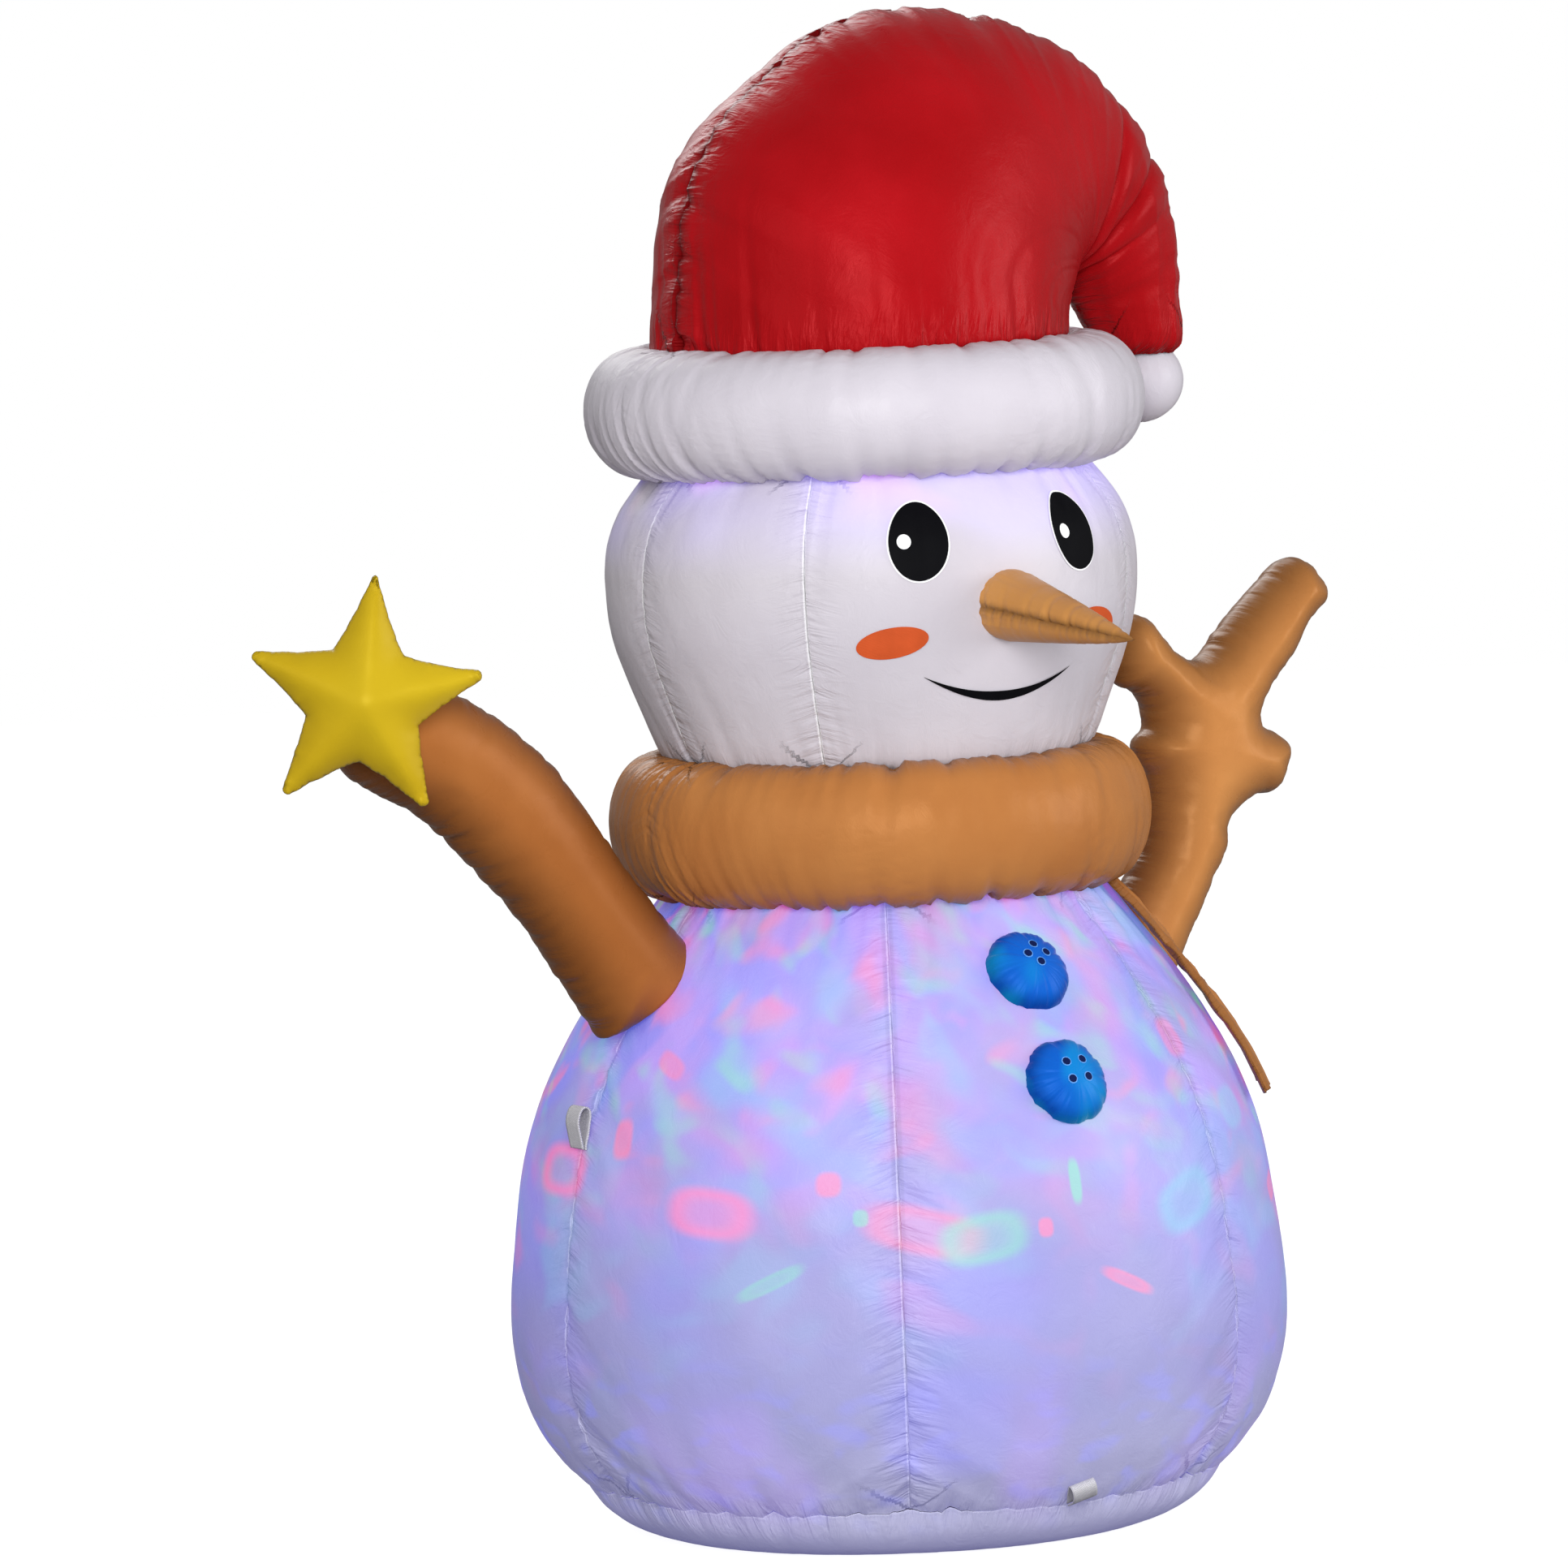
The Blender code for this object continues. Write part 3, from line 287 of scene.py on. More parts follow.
floor_curve, floor_run = smooth_line(floor_line, 64)
floor_hole, floor_lift = 0.0005, 0.0004
floor_curve[0, 0], floor_curve[:, 1] = floor_hole, floor_curve[:, 1].clip(floor_lift)
floor_disc = turned_cloth("floor_disc", floor_curve, floor_run, body_azimuths, floor_push)
for corner in floor_disc.data.vertices:
    corner.co.z = max(corner.co.z, floor_lift / 2)
body_curve, body_run = smooth_line(body_line, 200)
body_shell = turned_cloth("body_shell", body_curve, body_run, body_azimuths, body_push)

# The cloth is cut out behind the blower's grille, so that it can draw air.
blower_height, blower_cut = 0.1650, 0.0600
opened = bmesh.new()
opened.from_mesh(body_shell.data)
within = [f for f in opened.faces for c in (f.calc_center_median(),)
          if c.y > 0 and math.hypot(c.x, c.z - blower_height) < blower_cut]
bmesh.ops.delete(opened, geom=within, context="FACES")
opened.to_mesh(body_shell.data)
opened.free()


def tools_for(made):
    """A material's shader, a short way to add a node, and a short way to join an output to the shader."""
    tree = made.node_tree
    shader = tree.nodes["Principled BSDF"]

    def add(kind, inputs=None, **settings):
        node = tree.nodes.new(kind)
        for key, value in settings.items():
            setattr(node, key, value)
        for key, value in (inputs or {}).items():
            if isinstance(value, bpy.types.NodeSocket):
                tree.links.new(value, node.inputs[key])
            else:
                node.inputs[key].default_value = value
        return node

    def join(output, socket):
        tree.links.new(output, shader.inputs[socket])

    return shader, add, join


def new_finish(name):
    """A new material, with its tools and the object's own coordinates."""
    made = bpy.data.materials.new(name)
    made.use_nodes = True
    shader, add, join = tools_for(made)
    return made, shader, add, join, add("ShaderNodeTexCoord").outputs["Object"]


def maths(add, operation, *values):
    """One arithmetic node on the values given."""
    return add("ShaderNodeMath", dict(enumerate(values)), operation=operation).outputs[0]


def times(add, *values):
    """The product of two values."""
    return maths(add, "MULTIPLY", *values)


def steps(add, value, low, high):
    """A soft step of a value, from 0 at low to 1 at high."""
    ends = {0: value, 1: low, 2: high, 3: 0.0, 4: 1.0}
    return add("ShaderNodeMapRange", ends, interpolation_type="SMOOTHSTEP").outputs[0]


def fades(add, value, low, high):
    """A soft step of a value, from 1 at low to 0 at high."""
    return maths(add, "SUBTRACT", 1.0, steps(add, value, low, high))


def from_to(add, share, low, high, **span):
    """A value that goes from low to high as a share goes from 0 to 1, or over the span given."""
    ends = {0: share, 1: span.get("start", 0.0), 2: span.get("end", 1.0), 3: low, 4: high}
    return add("ShaderNodeMapRange", ends).outputs[0]


def mixed(add, share, first, second, blend="MIX"):
    """A colour between two, by a share from 0 to 1."""
    sockets = {0: share, 6: first, 7: second}
    return add("ShaderNodeMix", sockets, data_type="RGBA", blend_type=blend).outputs[2]


def cloudy(add, place, scale, detail, **more):
    """Smooth noise, from 0 to 1."""
    return add("ShaderNodeTexNoise", {"Vector": place, "Scale": scale, "Detail": detail, **more}).outputs[0]


def raised(add, height, strength=1.0, distance=1.0):
    """A surface direction that follows small heights."""
    return add("ShaderNodeBump", {"Height": height, "Strength": strength, "Distance": distance}).outputs[0]


def seam_values(add):
    """The distance to the nearest seam and the place along it, as the mesh keeps them."""
    return [add("ShaderNodeAttribute", attribute_name=label).outputs["Fac"]
            for label in ("seam_side", "seam_run")]


def woven_finish(add, join, place, colour, fold_depth, fold_reach, crinkle, painted_seam_line, seam_shade,
                 roughness):
    """Gives a shader the look of coated nylon: folds that cross its seams, crinkle, weave and stitching, and
    a painted line along each seam: shade on dark cloth, a highlight on white cloth.

    Heights are in metres. The folds run away from the seam and die out at fold_reach from it."""
    stitches_per_metre, thread_height, yarns, yarn_height = 260.0, 0.0004, 420.0, 0.000012
    side, run = seam_values(add)
    patchy = cloudy(add, place, 9.0, 3.0)
    fine = cloudy(add, place, 42.0, 5.0, Roughness=0.62, Distortion=0.6)
    near = fades(add, side, 0.0006, 0.0018)
    stitch_row = maths(add, "COMPARE", side, 0.0022, 0.0006)
    dash = maths(add, "GREATER_THAN", maths(add, "FRACT", times(add, run, stitches_per_metre)), 0.35)
    # A painted line along each seam: shade in its valley on dark cloth, a highlight on its ridge on white
    # cloth.
    shaded = mixed(add, times(add, near, seam_shade), colour, (*painted_seam_line, 1.0))
    varied = mixed(add, 0.30, shaded, add("ShaderNodeValToRGB", {0: patchy}).outputs[0], "SOFT_LIGHT")
    join(varied, "Base Color")
    across = add("ShaderNodeCombineXYZ", {0: times(add, run, 78.0), 1: times(add, side, 15.0)}).outputs[0]
    fold = cloudy(add, across, 1.0, 3.0, Roughness=0.55, Distortion=0.5)
    ridge = maths(add, "ABSOLUTE", maths(add, "SUBTRACT", fold, 0.5))
    fade = maths(add, "POWER", fades(add, side, -0.10 * fold_reach, fold_reach), 1.6)
    folds = times(add, times(add, ridge, fade), -fold_depth)
    creases = times(add, maths(add, "ABSOLUTE", maths(add, "SUBTRACT", fine, 0.5)), -0.0011 * crinkle)
    warp, weft = [add("ShaderNodeTexWave", {"Vector": place, "Scale": yarns, "Distortion": 1.0},
                      bands_direction=way).outputs[1] for way in ("X", "Z")]
    weave = times(add, maths(add, "ADD", warp, weft), yarn_height)
    threads = maths(add, "MULTIPLY_ADD", times(add, stitch_row, dash), thread_height, weave)
    join(raised(add, maths(add, "ADD", maths(add, "ADD", folds, creases), threads)), "Normal")
    join(from_to(add, fine, roughness - 0.06, roughness + 0.06, start=0.3, end=0.7), "Roughness")


def cast_spots(add, glow, spots, unrolled_run, height):
    """Lays over the cloth's glow the bright shapes that the turning light throws on it.

    Each is (azimuth, height, half width, half height, tilt, how hollow, colour, strength)."""
    for azimuth, up, half_width, half_height, tilt, hollow, colour, strength in spots:
        across = maths(add, "SUBTRACT", unrolled_run, math.radians(azimuth) * waist_radius)
        above = maths(add, "SUBTRACT", height, up)
        c, s = math.cos(math.radians(tilt)), math.sin(math.radians(tilt))
        x = maths(add, "DIVIDE", maths(add, "ADD", times(add, across, c), times(add, above, s)), half_width)
        y = maths(add, "DIVIDE", maths(add, "SUBTRACT", times(add, above, c), times(add, across, s)),
                  half_height)
        powers = [maths(add, "POWER", maths(add, "ABSOLUTE", value), squareness) for value in (x, y)]
        reach = maths(add, "POWER", maths(add, "ADD", *powers), 1 / squareness)
        mask = maths(add, "SUBTRACT", fades(add, reach, 0.72, 1.22),
                     times(add, fades(add, reach, 0.30, 0.85), hollow))
        glow = mixed(add, times(add, mask, strength), glow, (*colour, 1))
    return glow


waist_radius, squareness = 0.29, 2.8
pink, rose, violet, blue, cyan, mint = (
    (0.62, 0.03, 0.20), (0.70, 0.02, 0.09), (0.26, 0.10, 0.62), (0.06, 0.07, 0.55), (0.03, 0.30, 0.42),
    (0.02, 0.46, 0.17))
light_spots = [(-24.0, 0.1150, 0.050, 0.045, 0, 0.0, (0.09, 0.08, 0.52), 0.45),
               (-59.5, 0.2815, 0.037, 0.0190, -6, 0.45, pink, 0.95),
               (-26.5, 0.2660, 0.046, 0.0180, -14, 0.45, rose, 0.70),
               (-17.5, 0.2580, 0.034, 0.0190, 10, 0.45, mint, 0.70),
               (19.5, 0.2700, 0.036, 0.0210, 18, 0.50, cyan, 0.85),
               (-40.6, 0.3036, 0.010, 0.0095, 0, 0.0, rose, 0.75),
               (-7.9, 0.2632, 0.006, 0.0075, 0, 0.0, rose, 0.80),
               (-2.2, 0.2960, 0.005, 0.0170, 0, 0.0, mint, 0.85),
               (-35.8, 0.2775, 0.006, 0.0065, 0, 0.0, mint, 0.70),
               (-49.5, 0.2290, 0.028, 0.0060, 26, 0.3, mint, 0.55),
               (5.0, 0.2160, 0.024, 0.0055, -26, 0.2, rose, 0.75),
               (-94.5, 0.3040, 0.036, 0.0200, 0, 0.85, pink, 0.90),
               (-79.0, 0.3330, 0.012, 0.0150, 10, 0.1, rose, 0.70),
               (40.0, 0.3300, 0.020, 0.0160, 10, 0.1, cyan, 0.55),
               (52.0, 0.2600, 0.016, 0.0100, 20, 0.2, rose, 0.60),
               (30.0, 0.3900, 0.016, 0.0150, 0, 0.1, rose, 0.55),
               (-72.0, 0.3900, 0.018, 0.0080, -20, 0.1, rose, 0.60)]
light_repeat, light_join = 180.0, -120.0


def lit_nylon(name):
    """White nylon lit from inside: drifting colour above, crisp shapes at its waist, blue below."""
    made, shader, add, join, place = new_finish(name)
    x, y, height = add("ShaderNodeSeparateXYZ", {0: place}).outputs
    azimuth = maths(add, "ARCTAN2", x, times(add, y, -1.0))
    # The cloth is white; its colour here is set darker and bluish, a painted tint of the light inside it, and
    # paler near the floor.
    base = mixed(add, steps(add, height, 0.10, 0.46), (0.275, 0.275, 0.450, 1), (0.300, 0.280, 0.450, 1))
    base = mixed(add, fades(add, height, 0.02, 0.15), base, (0.46, 0.455, 0.56, 1))
    side, _ = seam_values(add)
    # Painted shadow of the seam allowance inside the body: from the waist up, a strip beside each seam is
    # darker in colour and in glow.
    allowance_shadow = times(add, fades(add, side, 0.0036, 0.0056), steps(add, height, 0.16, 0.34))
    base = mixed(add, times(add, allowance_shadow, 0.22), base, (0.17, 0.17, 0.24, 1))
    # The pale seam colour given here is a painted highlight along the body's seams.
    woven_finish(add, join, place, base, 0.0070, 0.050, 1.0, (0.66, 0.66, 0.76), 0.40, 0.42)

    def drift(twist, stretch, scale, low, high, shift):
        """Streaks that climb round the body: noise on a coordinate that turns with the height."""
        angle = maths(add, "MULTIPLY_ADD", height, twist, azimuth)
        spot = add("ShaderNodeCombineXYZ", {0: maths(add, "COSINE", angle), 1: maths(add, "SINE", angle),
                                            2: maths(add, "MULTIPLY_ADD", height, stretch, shift)}).outputs[0]
        return steps(add, cloudy(add, spot, scale, 1.0, Roughness=0.45, Distortion=0.25), low, high)

    upper = steps(add, height, 0.20, 0.40)
    less_above = maths(add, "SUBTRACT", 1.0, times(add, upper, 0.35))
    middle = times(add, steps(add, height, 0.09, 0.24), less_above)
    low_part = times(add, fades(add, height, 0.10, 0.20), steps(add, height, 0.01, 0.07))
    glow = mixed(add, steps(add, height, 0.10, 0.30), (0.080, 0.078, 0.205, 1), (0.112, 0.098, 0.285, 1))
    for colour, strength, part, settings in (
            (blue, 0.50, middle, (0.6, 3.0, 2.2, 0.40, 0.70, 23.1)),
            (violet, 0.70, upper, (1.6, 3.6, 2.8, 0.36, 0.64, 7.3)),
            (blue, 0.80, upper, (-1.4, 4.0, 3.8, 0.43, 0.66, 43.0)),
            (cyan, 0.55, upper, (1.9, 4.2, 4.2, 0.46, 0.76, 11.9)),
            (pink, 0.48, upper, (1.6, 3.8, 4.0, 0.50, 0.78, 0.0)),
            (rose, 0.62, upper, (-1.3, 4.6, 6.2, 0.55, 0.80, 3.1)),
            (mint, 0.60, upper, (1.4, 5.0, 6.0, 0.52, 0.80, 17.7)),
            (cyan, 0.35, middle, (-1.0, 4.4, 4.8, 0.50, 0.74, 29.3)),
            (pink, 0.30, middle, (0.8, 4.4, 4.4, 0.52, 0.74, 37.0)),
            (blue, 0.50, low_part, (0.8, 6.0, 8.0, 0.50, 0.72, 41.0)),
            (violet, 0.35, low_part, (0.3, 3.0, 3.0, 0.42, 0.72, 51.0))):
        glow = mixed(add, times(add, times(add, drift(*settings), part), strength), glow, (*colour, 1))
    half, start = math.radians(light_repeat), math.radians(light_join)
    within = maths(add, "FLOORED_MODULO", maths(add, "SUBTRACT", azimuth, start), half)
    folded = maths(add, "ADD", within, start)
    glow = cast_spots(add, glow, light_spots, times(add, folded, waist_radius), height)
    # The same painted shadow of the seam allowance, laid on the glow.
    glow = mixed(add, times(add, allowance_shadow, 0.14), glow, (0.03, 0.03, 0.06, 1))
    join(glow, "Emission Color")
    shader.inputs["Emission Strength"].default_value = 1.0
    shader.inputs["Sheen Weight"].default_value = 0.03
    shader.inputs["Specular IOR Level"].default_value = 0.20
    return made


lit_cloth = lit_nylon("lit_nylon")
sewn_on(floor_disc, lit_cloth, ["base_panel"])
sewn_on(body_shell, lit_cloth, [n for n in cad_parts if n.startswith("body_panel_")])


# ---------------------------------------------------------------- head
# A wide face panel and four more of the same white nylon, sewn from the neck up to the hat.
head_line = [(0.1600, 0.6080), (0.1720, 0.6185), (0.1853, 0.6500), (0.1979, 0.6826), (0.2075, 0.7140),
             (0.2112, 0.7490), (0.2093, 0.7790), (0.1985, 0.8090), (0.1760, 0.8390), (0.1600, 0.8540)]
head_seams, head_mean = [-90, -45, 45, 90, 180], 0.20
head_azimuths = azimuths_between(head_seams, 80, 44)
head_gap, head_number, head_across = nearest_seam(head_azimuths, head_seams)


def head_push(azimuth, run, radius):
    """Soft panels with fine puckers at the seams, pleats under the hat and gathers at the neck."""
    around_run, head_turn = np.radians(azimuth) * head_mean, 2 * math.pi * head_mean
    side = np.abs(np.radians(head_gap))[None, :] * radius
    slant = run + 0.3 * side + 0.9 * head_number[None, :] + 0.02 * (head_gap > 0)[None, :]
    top = run.max() - run
    swell = -0.0034 * (1 - head_across[None, :]) ** 2
    valley = -0.0005 * np.exp(-side / 0.004)
    puckers = gathers(side, slant, None, (0.0010, 0.011, 0.011, 0.0, 13))
    pleats = gathers(top, around_run, head_turn, (0.0038, 0.050, 0.026, 0.10, 15))
    neck = gathers(run, around_run, head_turn, (0.0030, 0.035, 0.022, 0.15, 17))
    soft = 0.0008 * ripple(around_run + 0.5 * run, 0.090, 19, head_turn)
    edge = np.minimum(run, top)
    push = swell + valley + puckers + pleats + neck + soft
    return push, np.minimum(side, edge), np.where(edge < side, around_run, slant)


head_curve, head_run = smooth_line(head_line, 130)
head_shell = turned_cloth("head_shell", head_curve, head_run, head_azimuths, head_push)


def white_nylon(name, colour, crown_glow):
    """White nylon lit only by the room, but for a little coloured light that leaks up under the hat."""
    made, shader, add, join, place = new_finish(name)
    # The pale seam colour given here is a painted highlight along the seams.
    woven_finish(add, join, place, colour, 0.0055, 0.045, 0.8, (0.86, 0.85, 0.88), 0.75, 0.42)
    shader.inputs["Sheen Weight"].default_value = 0.03
    shader.inputs["Specular IOR Level"].default_value = 0.20
    if crown_glow:
        height = add("ShaderNodeSeparateXYZ", {0: place}).outputs[2]
        blue = times(add, steps(add, cloudy(add, place, 9.0, 1.0), 0.28, 0.62),
                     steps(add, height, 0.760, 0.850))
        other = {"Vector": place, "Scale": 14.0, "Detail": 1.0, "W": 3.0}
        rose = add("ShaderNodeTexNoise", other, noise_dimensions="4D").outputs[0]
        warm = times(add, steps(add, rose, 0.52, 0.70), steps(add, height, 0.795, 0.850))
        lit = add("ShaderNodeVectorMath", {0: (0.13, 0.09, 0.48), "Scale": blue},
                  operation="SCALE").outputs[0]
        also = add("ShaderNodeVectorMath", {0: (0.16, 0.02, 0.10), "Scale": warm},
                   operation="SCALE").outputs[0]
        both = add("ShaderNodeVectorMath", {0: lit, 1: also}, operation="ADD").outputs[0]
        join(both, "Emission Color")
        shader.inputs["Emission Strength"].default_value = 1.0
    return made


head_cloth = white_nylon("head_nylon", (0.57, 0.535, 0.590, 1), True)
sewn_on(head_shell, head_cloth, [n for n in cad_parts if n.startswith("head_panel_")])


# ---------------------------------------------------------------- printed face
# Eyes, cheeks and mouth are printed on the face panel, so they lie on it and follow its folds.
def skin_of(piece):
    """A tree of a piece's surface, to lay other pieces on."""
    return BVHTree.FromPolygons([v.co for v in piece.data.vertices],
                                [p.vertices for p in piece.data.polygons])


def laid_on(tree, azimuth, height, off):
    """The point on a round shell at an azimuth and height, raised off the cloth."""
    angle = math.radians(azimuth)
    outward = Vector((math.sin(angle), -math.cos(angle), 0))
    found, normal, _, _ = tree.ray_cast(Vector((0, 0, height)), outward)
    if normal.dot(outward) < 0:
        normal = -normal
    return found + normal * off


def printed(name, tree, centre, outline, off, ink, replaced=(), rings=7):
    """A printed shape: rings from its middle to its outline, laid on the cloth.

    The outline gives, for an angle, how far across and up the edge is from the middle."""
    bm = bmesh.new()
    azimuth, height = centre
    radius = (laid_on(tree, azimuth, height, 0).xy).length
    sides = 56
    middle = bm.verts.new(laid_on(tree, azimuth, height, off))
    grid = []
    for k in range(1, rings + 1):
        row = []
        for i in range(sides):
            across, up = outline(2 * math.pi * i / sides)
            share = k / rings
            spot = laid_on(tree, azimuth + math.degrees(across * share / radius), height + up * share, off)
            row.append(bm.verts.new(spot))
        grid.append(row)
    for i in range(sides):
        bm.faces.new((middle, grid[0][i], grid[0][(i + 1) % sides]))
        for low, high in zip(grid, grid[1:]):
            bm.faces.new((low[i], high[i], high[(i + 1) % sides], low[(i + 1) % sides]))
    sewn_on(set_down(name, bm), ink, replaced)


def print_ink(name, colour, roughness):
    """Screen-printed ink: an even colour with the weave just showing through."""
    made, shader, add, join, place = new_finish(name)
    worn = tuple(min(1.0, v * 1.35 + 0.001) for v in colour)
    join(mixed(add, cloudy(add, place, 60.0, 3.0), (*colour, 1), (*worn, 1)), "Base Color")
    weave = add("ShaderNodeTexWave", {"Vector": place, "Scale": 420.0}, bands_direction="DIAGONAL").outputs[1]
    join(raised(add, weave, 0.12, 0.0004), "Normal")
    shader.inputs["Roughness"].default_value = roughness
    shader.inputs["Specular IOR Level"].default_value = 0.04
    return made


def oval(half_width, half_height, tilt=0.0):
    """The outline of an oval, leaned by tilt degrees."""
    c, s = math.cos(math.radians(tilt)), math.sin(math.radians(tilt))

    def at(angle):
        x, y = half_width * math.cos(angle), half_height * math.sin(angle)
        return x * c - y * s, x * s + y * c
    return at


head_skin = skin_of(head_shell)
black_ink = print_ink("black_ink", (0.002, 0.002, 0.003), 0.55)
white_ink = print_ink("white_ink", (0.80, 0.80, 0.84), 0.5)
orange_ink = print_ink("orange_ink", (0.480, 0.075, 0.020), 0.5)
eye_height = 0.7900
for word, azimuth, lean in (("right", -20.0, -3.0), ("left", 20.0, 7.0)):
    for label, centre, shape, off, ink, replaced, rings in (
            (f"eye_rim_{word}", (azimuth, eye_height), oval(0.0248, 0.0313, lean), 0.0007, white_ink, (), 7),
            (f"eye_{word}_print", (azimuth, eye_height), oval(0.0235, 0.0300, lean), 0.0010, black_ink,
             [f"eye_{word}"], 7),
            (f"eye_glint_{word}", (azimuth - 3.2, eye_height + 0.0005), oval(0.0056, 0.0056), 0.0013,
             white_ink, (), 3)):
        printed(label, head_skin, centre, shape, off, ink, replaced, rings)
for word, centre, lean in (("right", (-26.5, 0.7130), 8.0), ("left", (27.5, 0.7170), -8.0)):
    cheek = oval(0.0285, 0.0120, lean)
    printed(f"cheek_{word}_print", head_skin, centre, cheek, 0.0009, orange_ink,
            [f"cheek_{word}"])

mouth_half, mouth_corner, mouth_low, mouth_thick = 19.5, 0.6850, 0.6665, 0.0074
bm = bmesh.new()
mouth_rows = []
for i in range(61):
    share = i / 30 - 1
    height = mouth_low + (mouth_corner - mouth_low) * share ** 2
    half = 0.5 * mouth_thick * (1 - abs(share) ** 1.6) + 0.0001
    mouth_rows.append([bm.verts.new(laid_on(head_skin, share * mouth_half, height + half * k, 0.0009))
                       for k in (-1, 0, 1)])
for here, after in zip(mouth_rows, mouth_rows[1:]):
    for k in range(2):
        bm.faces.new((here[k], after[k], after[k + 1], here[k + 1]))
sewn_on(set_down("mouth_print", bm), black_ink, ["mouth"])


# ---------------------------------------------------------------- scarf band and hat brim
# Fat sewn tubes round the neck and the hat. Each is two halves, of brown satin or of white nylon, joined at
# the sides and pulled into gathers at both edges.
def band(name, radius, low, high, bulge, seeds, gather):
    """A fat tube from its lower crease to its upper crease, with gathers that start at both."""
    angles = np.linspace(-math.pi / 2, math.pi / 2, 90)
    angles = angles - 0.16 * np.sin(2 * angles)
    middle, half = (low + high) / 2, (high - low) / 2
    line = np.column_stack([radius + bulge * np.cos(angles).clip(0) ** 0.8, middle + half * np.sin(angles)])
    line = np.vstack([[radius - 0.010, low + 0.0035], line, [radius - 0.010, high - 0.0035]])
    run = np.concatenate([[0], np.cumsum(np.linalg.norm(np.diff(line, axis=0), axis=1))])
    azimuths = azimuths_between([-90, 90], 230, 230)
    gap, _, _ = nearest_seam(azimuths, [-90, 90])
    mean = radius + bulge / 2

    def push(azimuth, run, radius_here):
        around_run = np.radians(azimuth) * mean
        edge = np.minimum(run, run.max() - run)
        bottom, top = np.clip(run - 0.016, 0, None), np.clip(run.max() - run - 0.012, 0, None)
        side = np.abs(np.radians(gap))[None, :] * radius_here
        folds = 0.0
        for start, seed, strength in ((bottom, seeds[0], 1.25 * gather), (top, seeds[1], 0.8 * gather)):
            folds = folds + gathers(start, around_run, 2 * math.pi * mean,
                                    (strength, 0.032, 0.027, 0.20, seed),
                                    (0.40 * strength, 0.015, 0.011, 0.0, seed + 1),
                                    (0.40 * strength, 0.060, 0.060, -0.15, seed + 2))
            pinched = np.clip(ripple(around_run + 0.35 * start, 0.021, seed + 3, 2 * math.pi * mean) - 0.25,
                              0, 1)
            folds = folds - 1.1 * strength * np.exp(-start / 0.042) * pinched
        folds = folds * np.clip(edge / 0.014, 0.3, 1)
        cross = gathers(side, run, None, (0.0010, 0.014, 0.012, 0.4,
                                          seeds[0] + 5)) - 0.0014 * np.exp(-side / 0.010)
        return folds + cross, edge + 0 * side, np.where(edge < side, around_run, run)

    return turned_cloth(name, line, run, azimuths, push)


def satin(name, colour, deep, roughness=0.36, folds=0.0060, reach=0.045, crinkle=0.6, shadow=0.040):
    """Dyed satin nylon: a soft gloss, a fine crinkle, uneven dye, and painted shade that darkens it towards
    its seams and edges.
    """
    made, shader, add, join, place = new_finish(name)
    tone = mixed(add, steps(add, cloudy(add, place, 6.0, 4.0), 0.30, 0.75), (*colour, 1), (*deep, 1))
    side, _ = seam_values(add)
    # Painted shade: the colour darkens towards the seams and edges over a width of shadow, and the seam line
    # passed below is a darker painted line.
    tone = mixed(add, fades(add, side, -0.3 * shadow, shadow), tone, (*(0.42 * c for c in deep), 1))
    woven_finish(add, join, place, tone, folds, reach, crinkle, tuple(0.4 * c for c in deep), 0.15, roughness)
    shader.inputs["Specular IOR Level"].default_value = 0.20
    shader.inputs["Specular Tint"].default_value = (*(min(1.0, c / max(colour) + 0.12) for c in colour), 1)
    return made


scarf_satin = satin("scarf_satin", (0.470, 0.192, 0.056), (0.400, 0.150, 0.042), 0.33, 0.0110, 0.060, 0.6,
                    0.050)
brim_nylon = white_nylon("brim_nylon", (0.59, 0.555, 0.615, 1), False)
scarf_band = band("scarf_band", 0.1720, 0.5075, 0.6170, 0.0430, (21, 31), 0.0064)
hat_brim = band("hat_brim", 0.1740, 0.8405, 0.9395, 0.0480, (41, 51), 0.0056)
sewn_on(scarf_band, scarf_satin, ["scarf_band_front", "scarf_band_back"])
sewn_on(hat_brim, brim_nylon, ["hat_brim_front", "hat_brim_back"])


# ---------------------------------------------------------------- hat
# Two red satin panels sewn along the crest, blown up into a dome whose tail folds over and hangs beside it.
# Each station is the outer and the inner edge in the crest plane, the half depth across it, and its set back.
hat_stations = [(-0.1630, 0.9300, 0.1580, 0.9300, 0.159, 0.000),
                (-0.1680, 0.9410, 0.1630, 0.9410, 0.164, 0.000),
                (-0.1630, 1.0000, 0.1640, 0.9460, 0.162, 0.000),
                (-0.1540, 1.0600, 0.1660, 0.9520, 0.158, 0.000),
                (-0.1260, 1.1120, 0.1690, 0.9580, 0.151, 0.000),
                (-0.0850, 1.1480, 0.1720, 0.9640, 0.141, 0.000),
                (-0.0350, 1.1820, 0.1750, 0.9690, 0.129, 0.000),
                (0.0300, 1.1990, 0.1780, 0.9740, 0.115, 0.001),
                (0.1050, 1.1930, 0.1810, 0.9780, 0.099, 0.003),
                (0.1780, 1.1700, 0.1840, 0.9810, 0.082, 0.006),
                (0.2430, 1.1240, 0.1880, 0.9820, 0.066, 0.011),
                (0.2850, 1.0680, 0.1950, 0.9800, 0.053, 0.016),
                (0.3010, 1.0080, 0.2060, 0.9690, 0.044, 0.020),
                (0.3050, 0.9600, 0.2200, 0.9470, 0.038, 0.022),
                (0.3050, 0.9260, 0.2340, 0.9260, 0.034, 0.022),
                (0.2980, 0.9150, 0.2400, 0.9150, 0.028, 0.022)]
hat_curve, _ = smooth_line(hat_stations, 260)
hat_share = np.linspace(0, 1, 161)
hat_angles = math.pi * (hat_share - 0.55 * np.sin(2 * math.pi * hat_share) / (2 * math.pi))
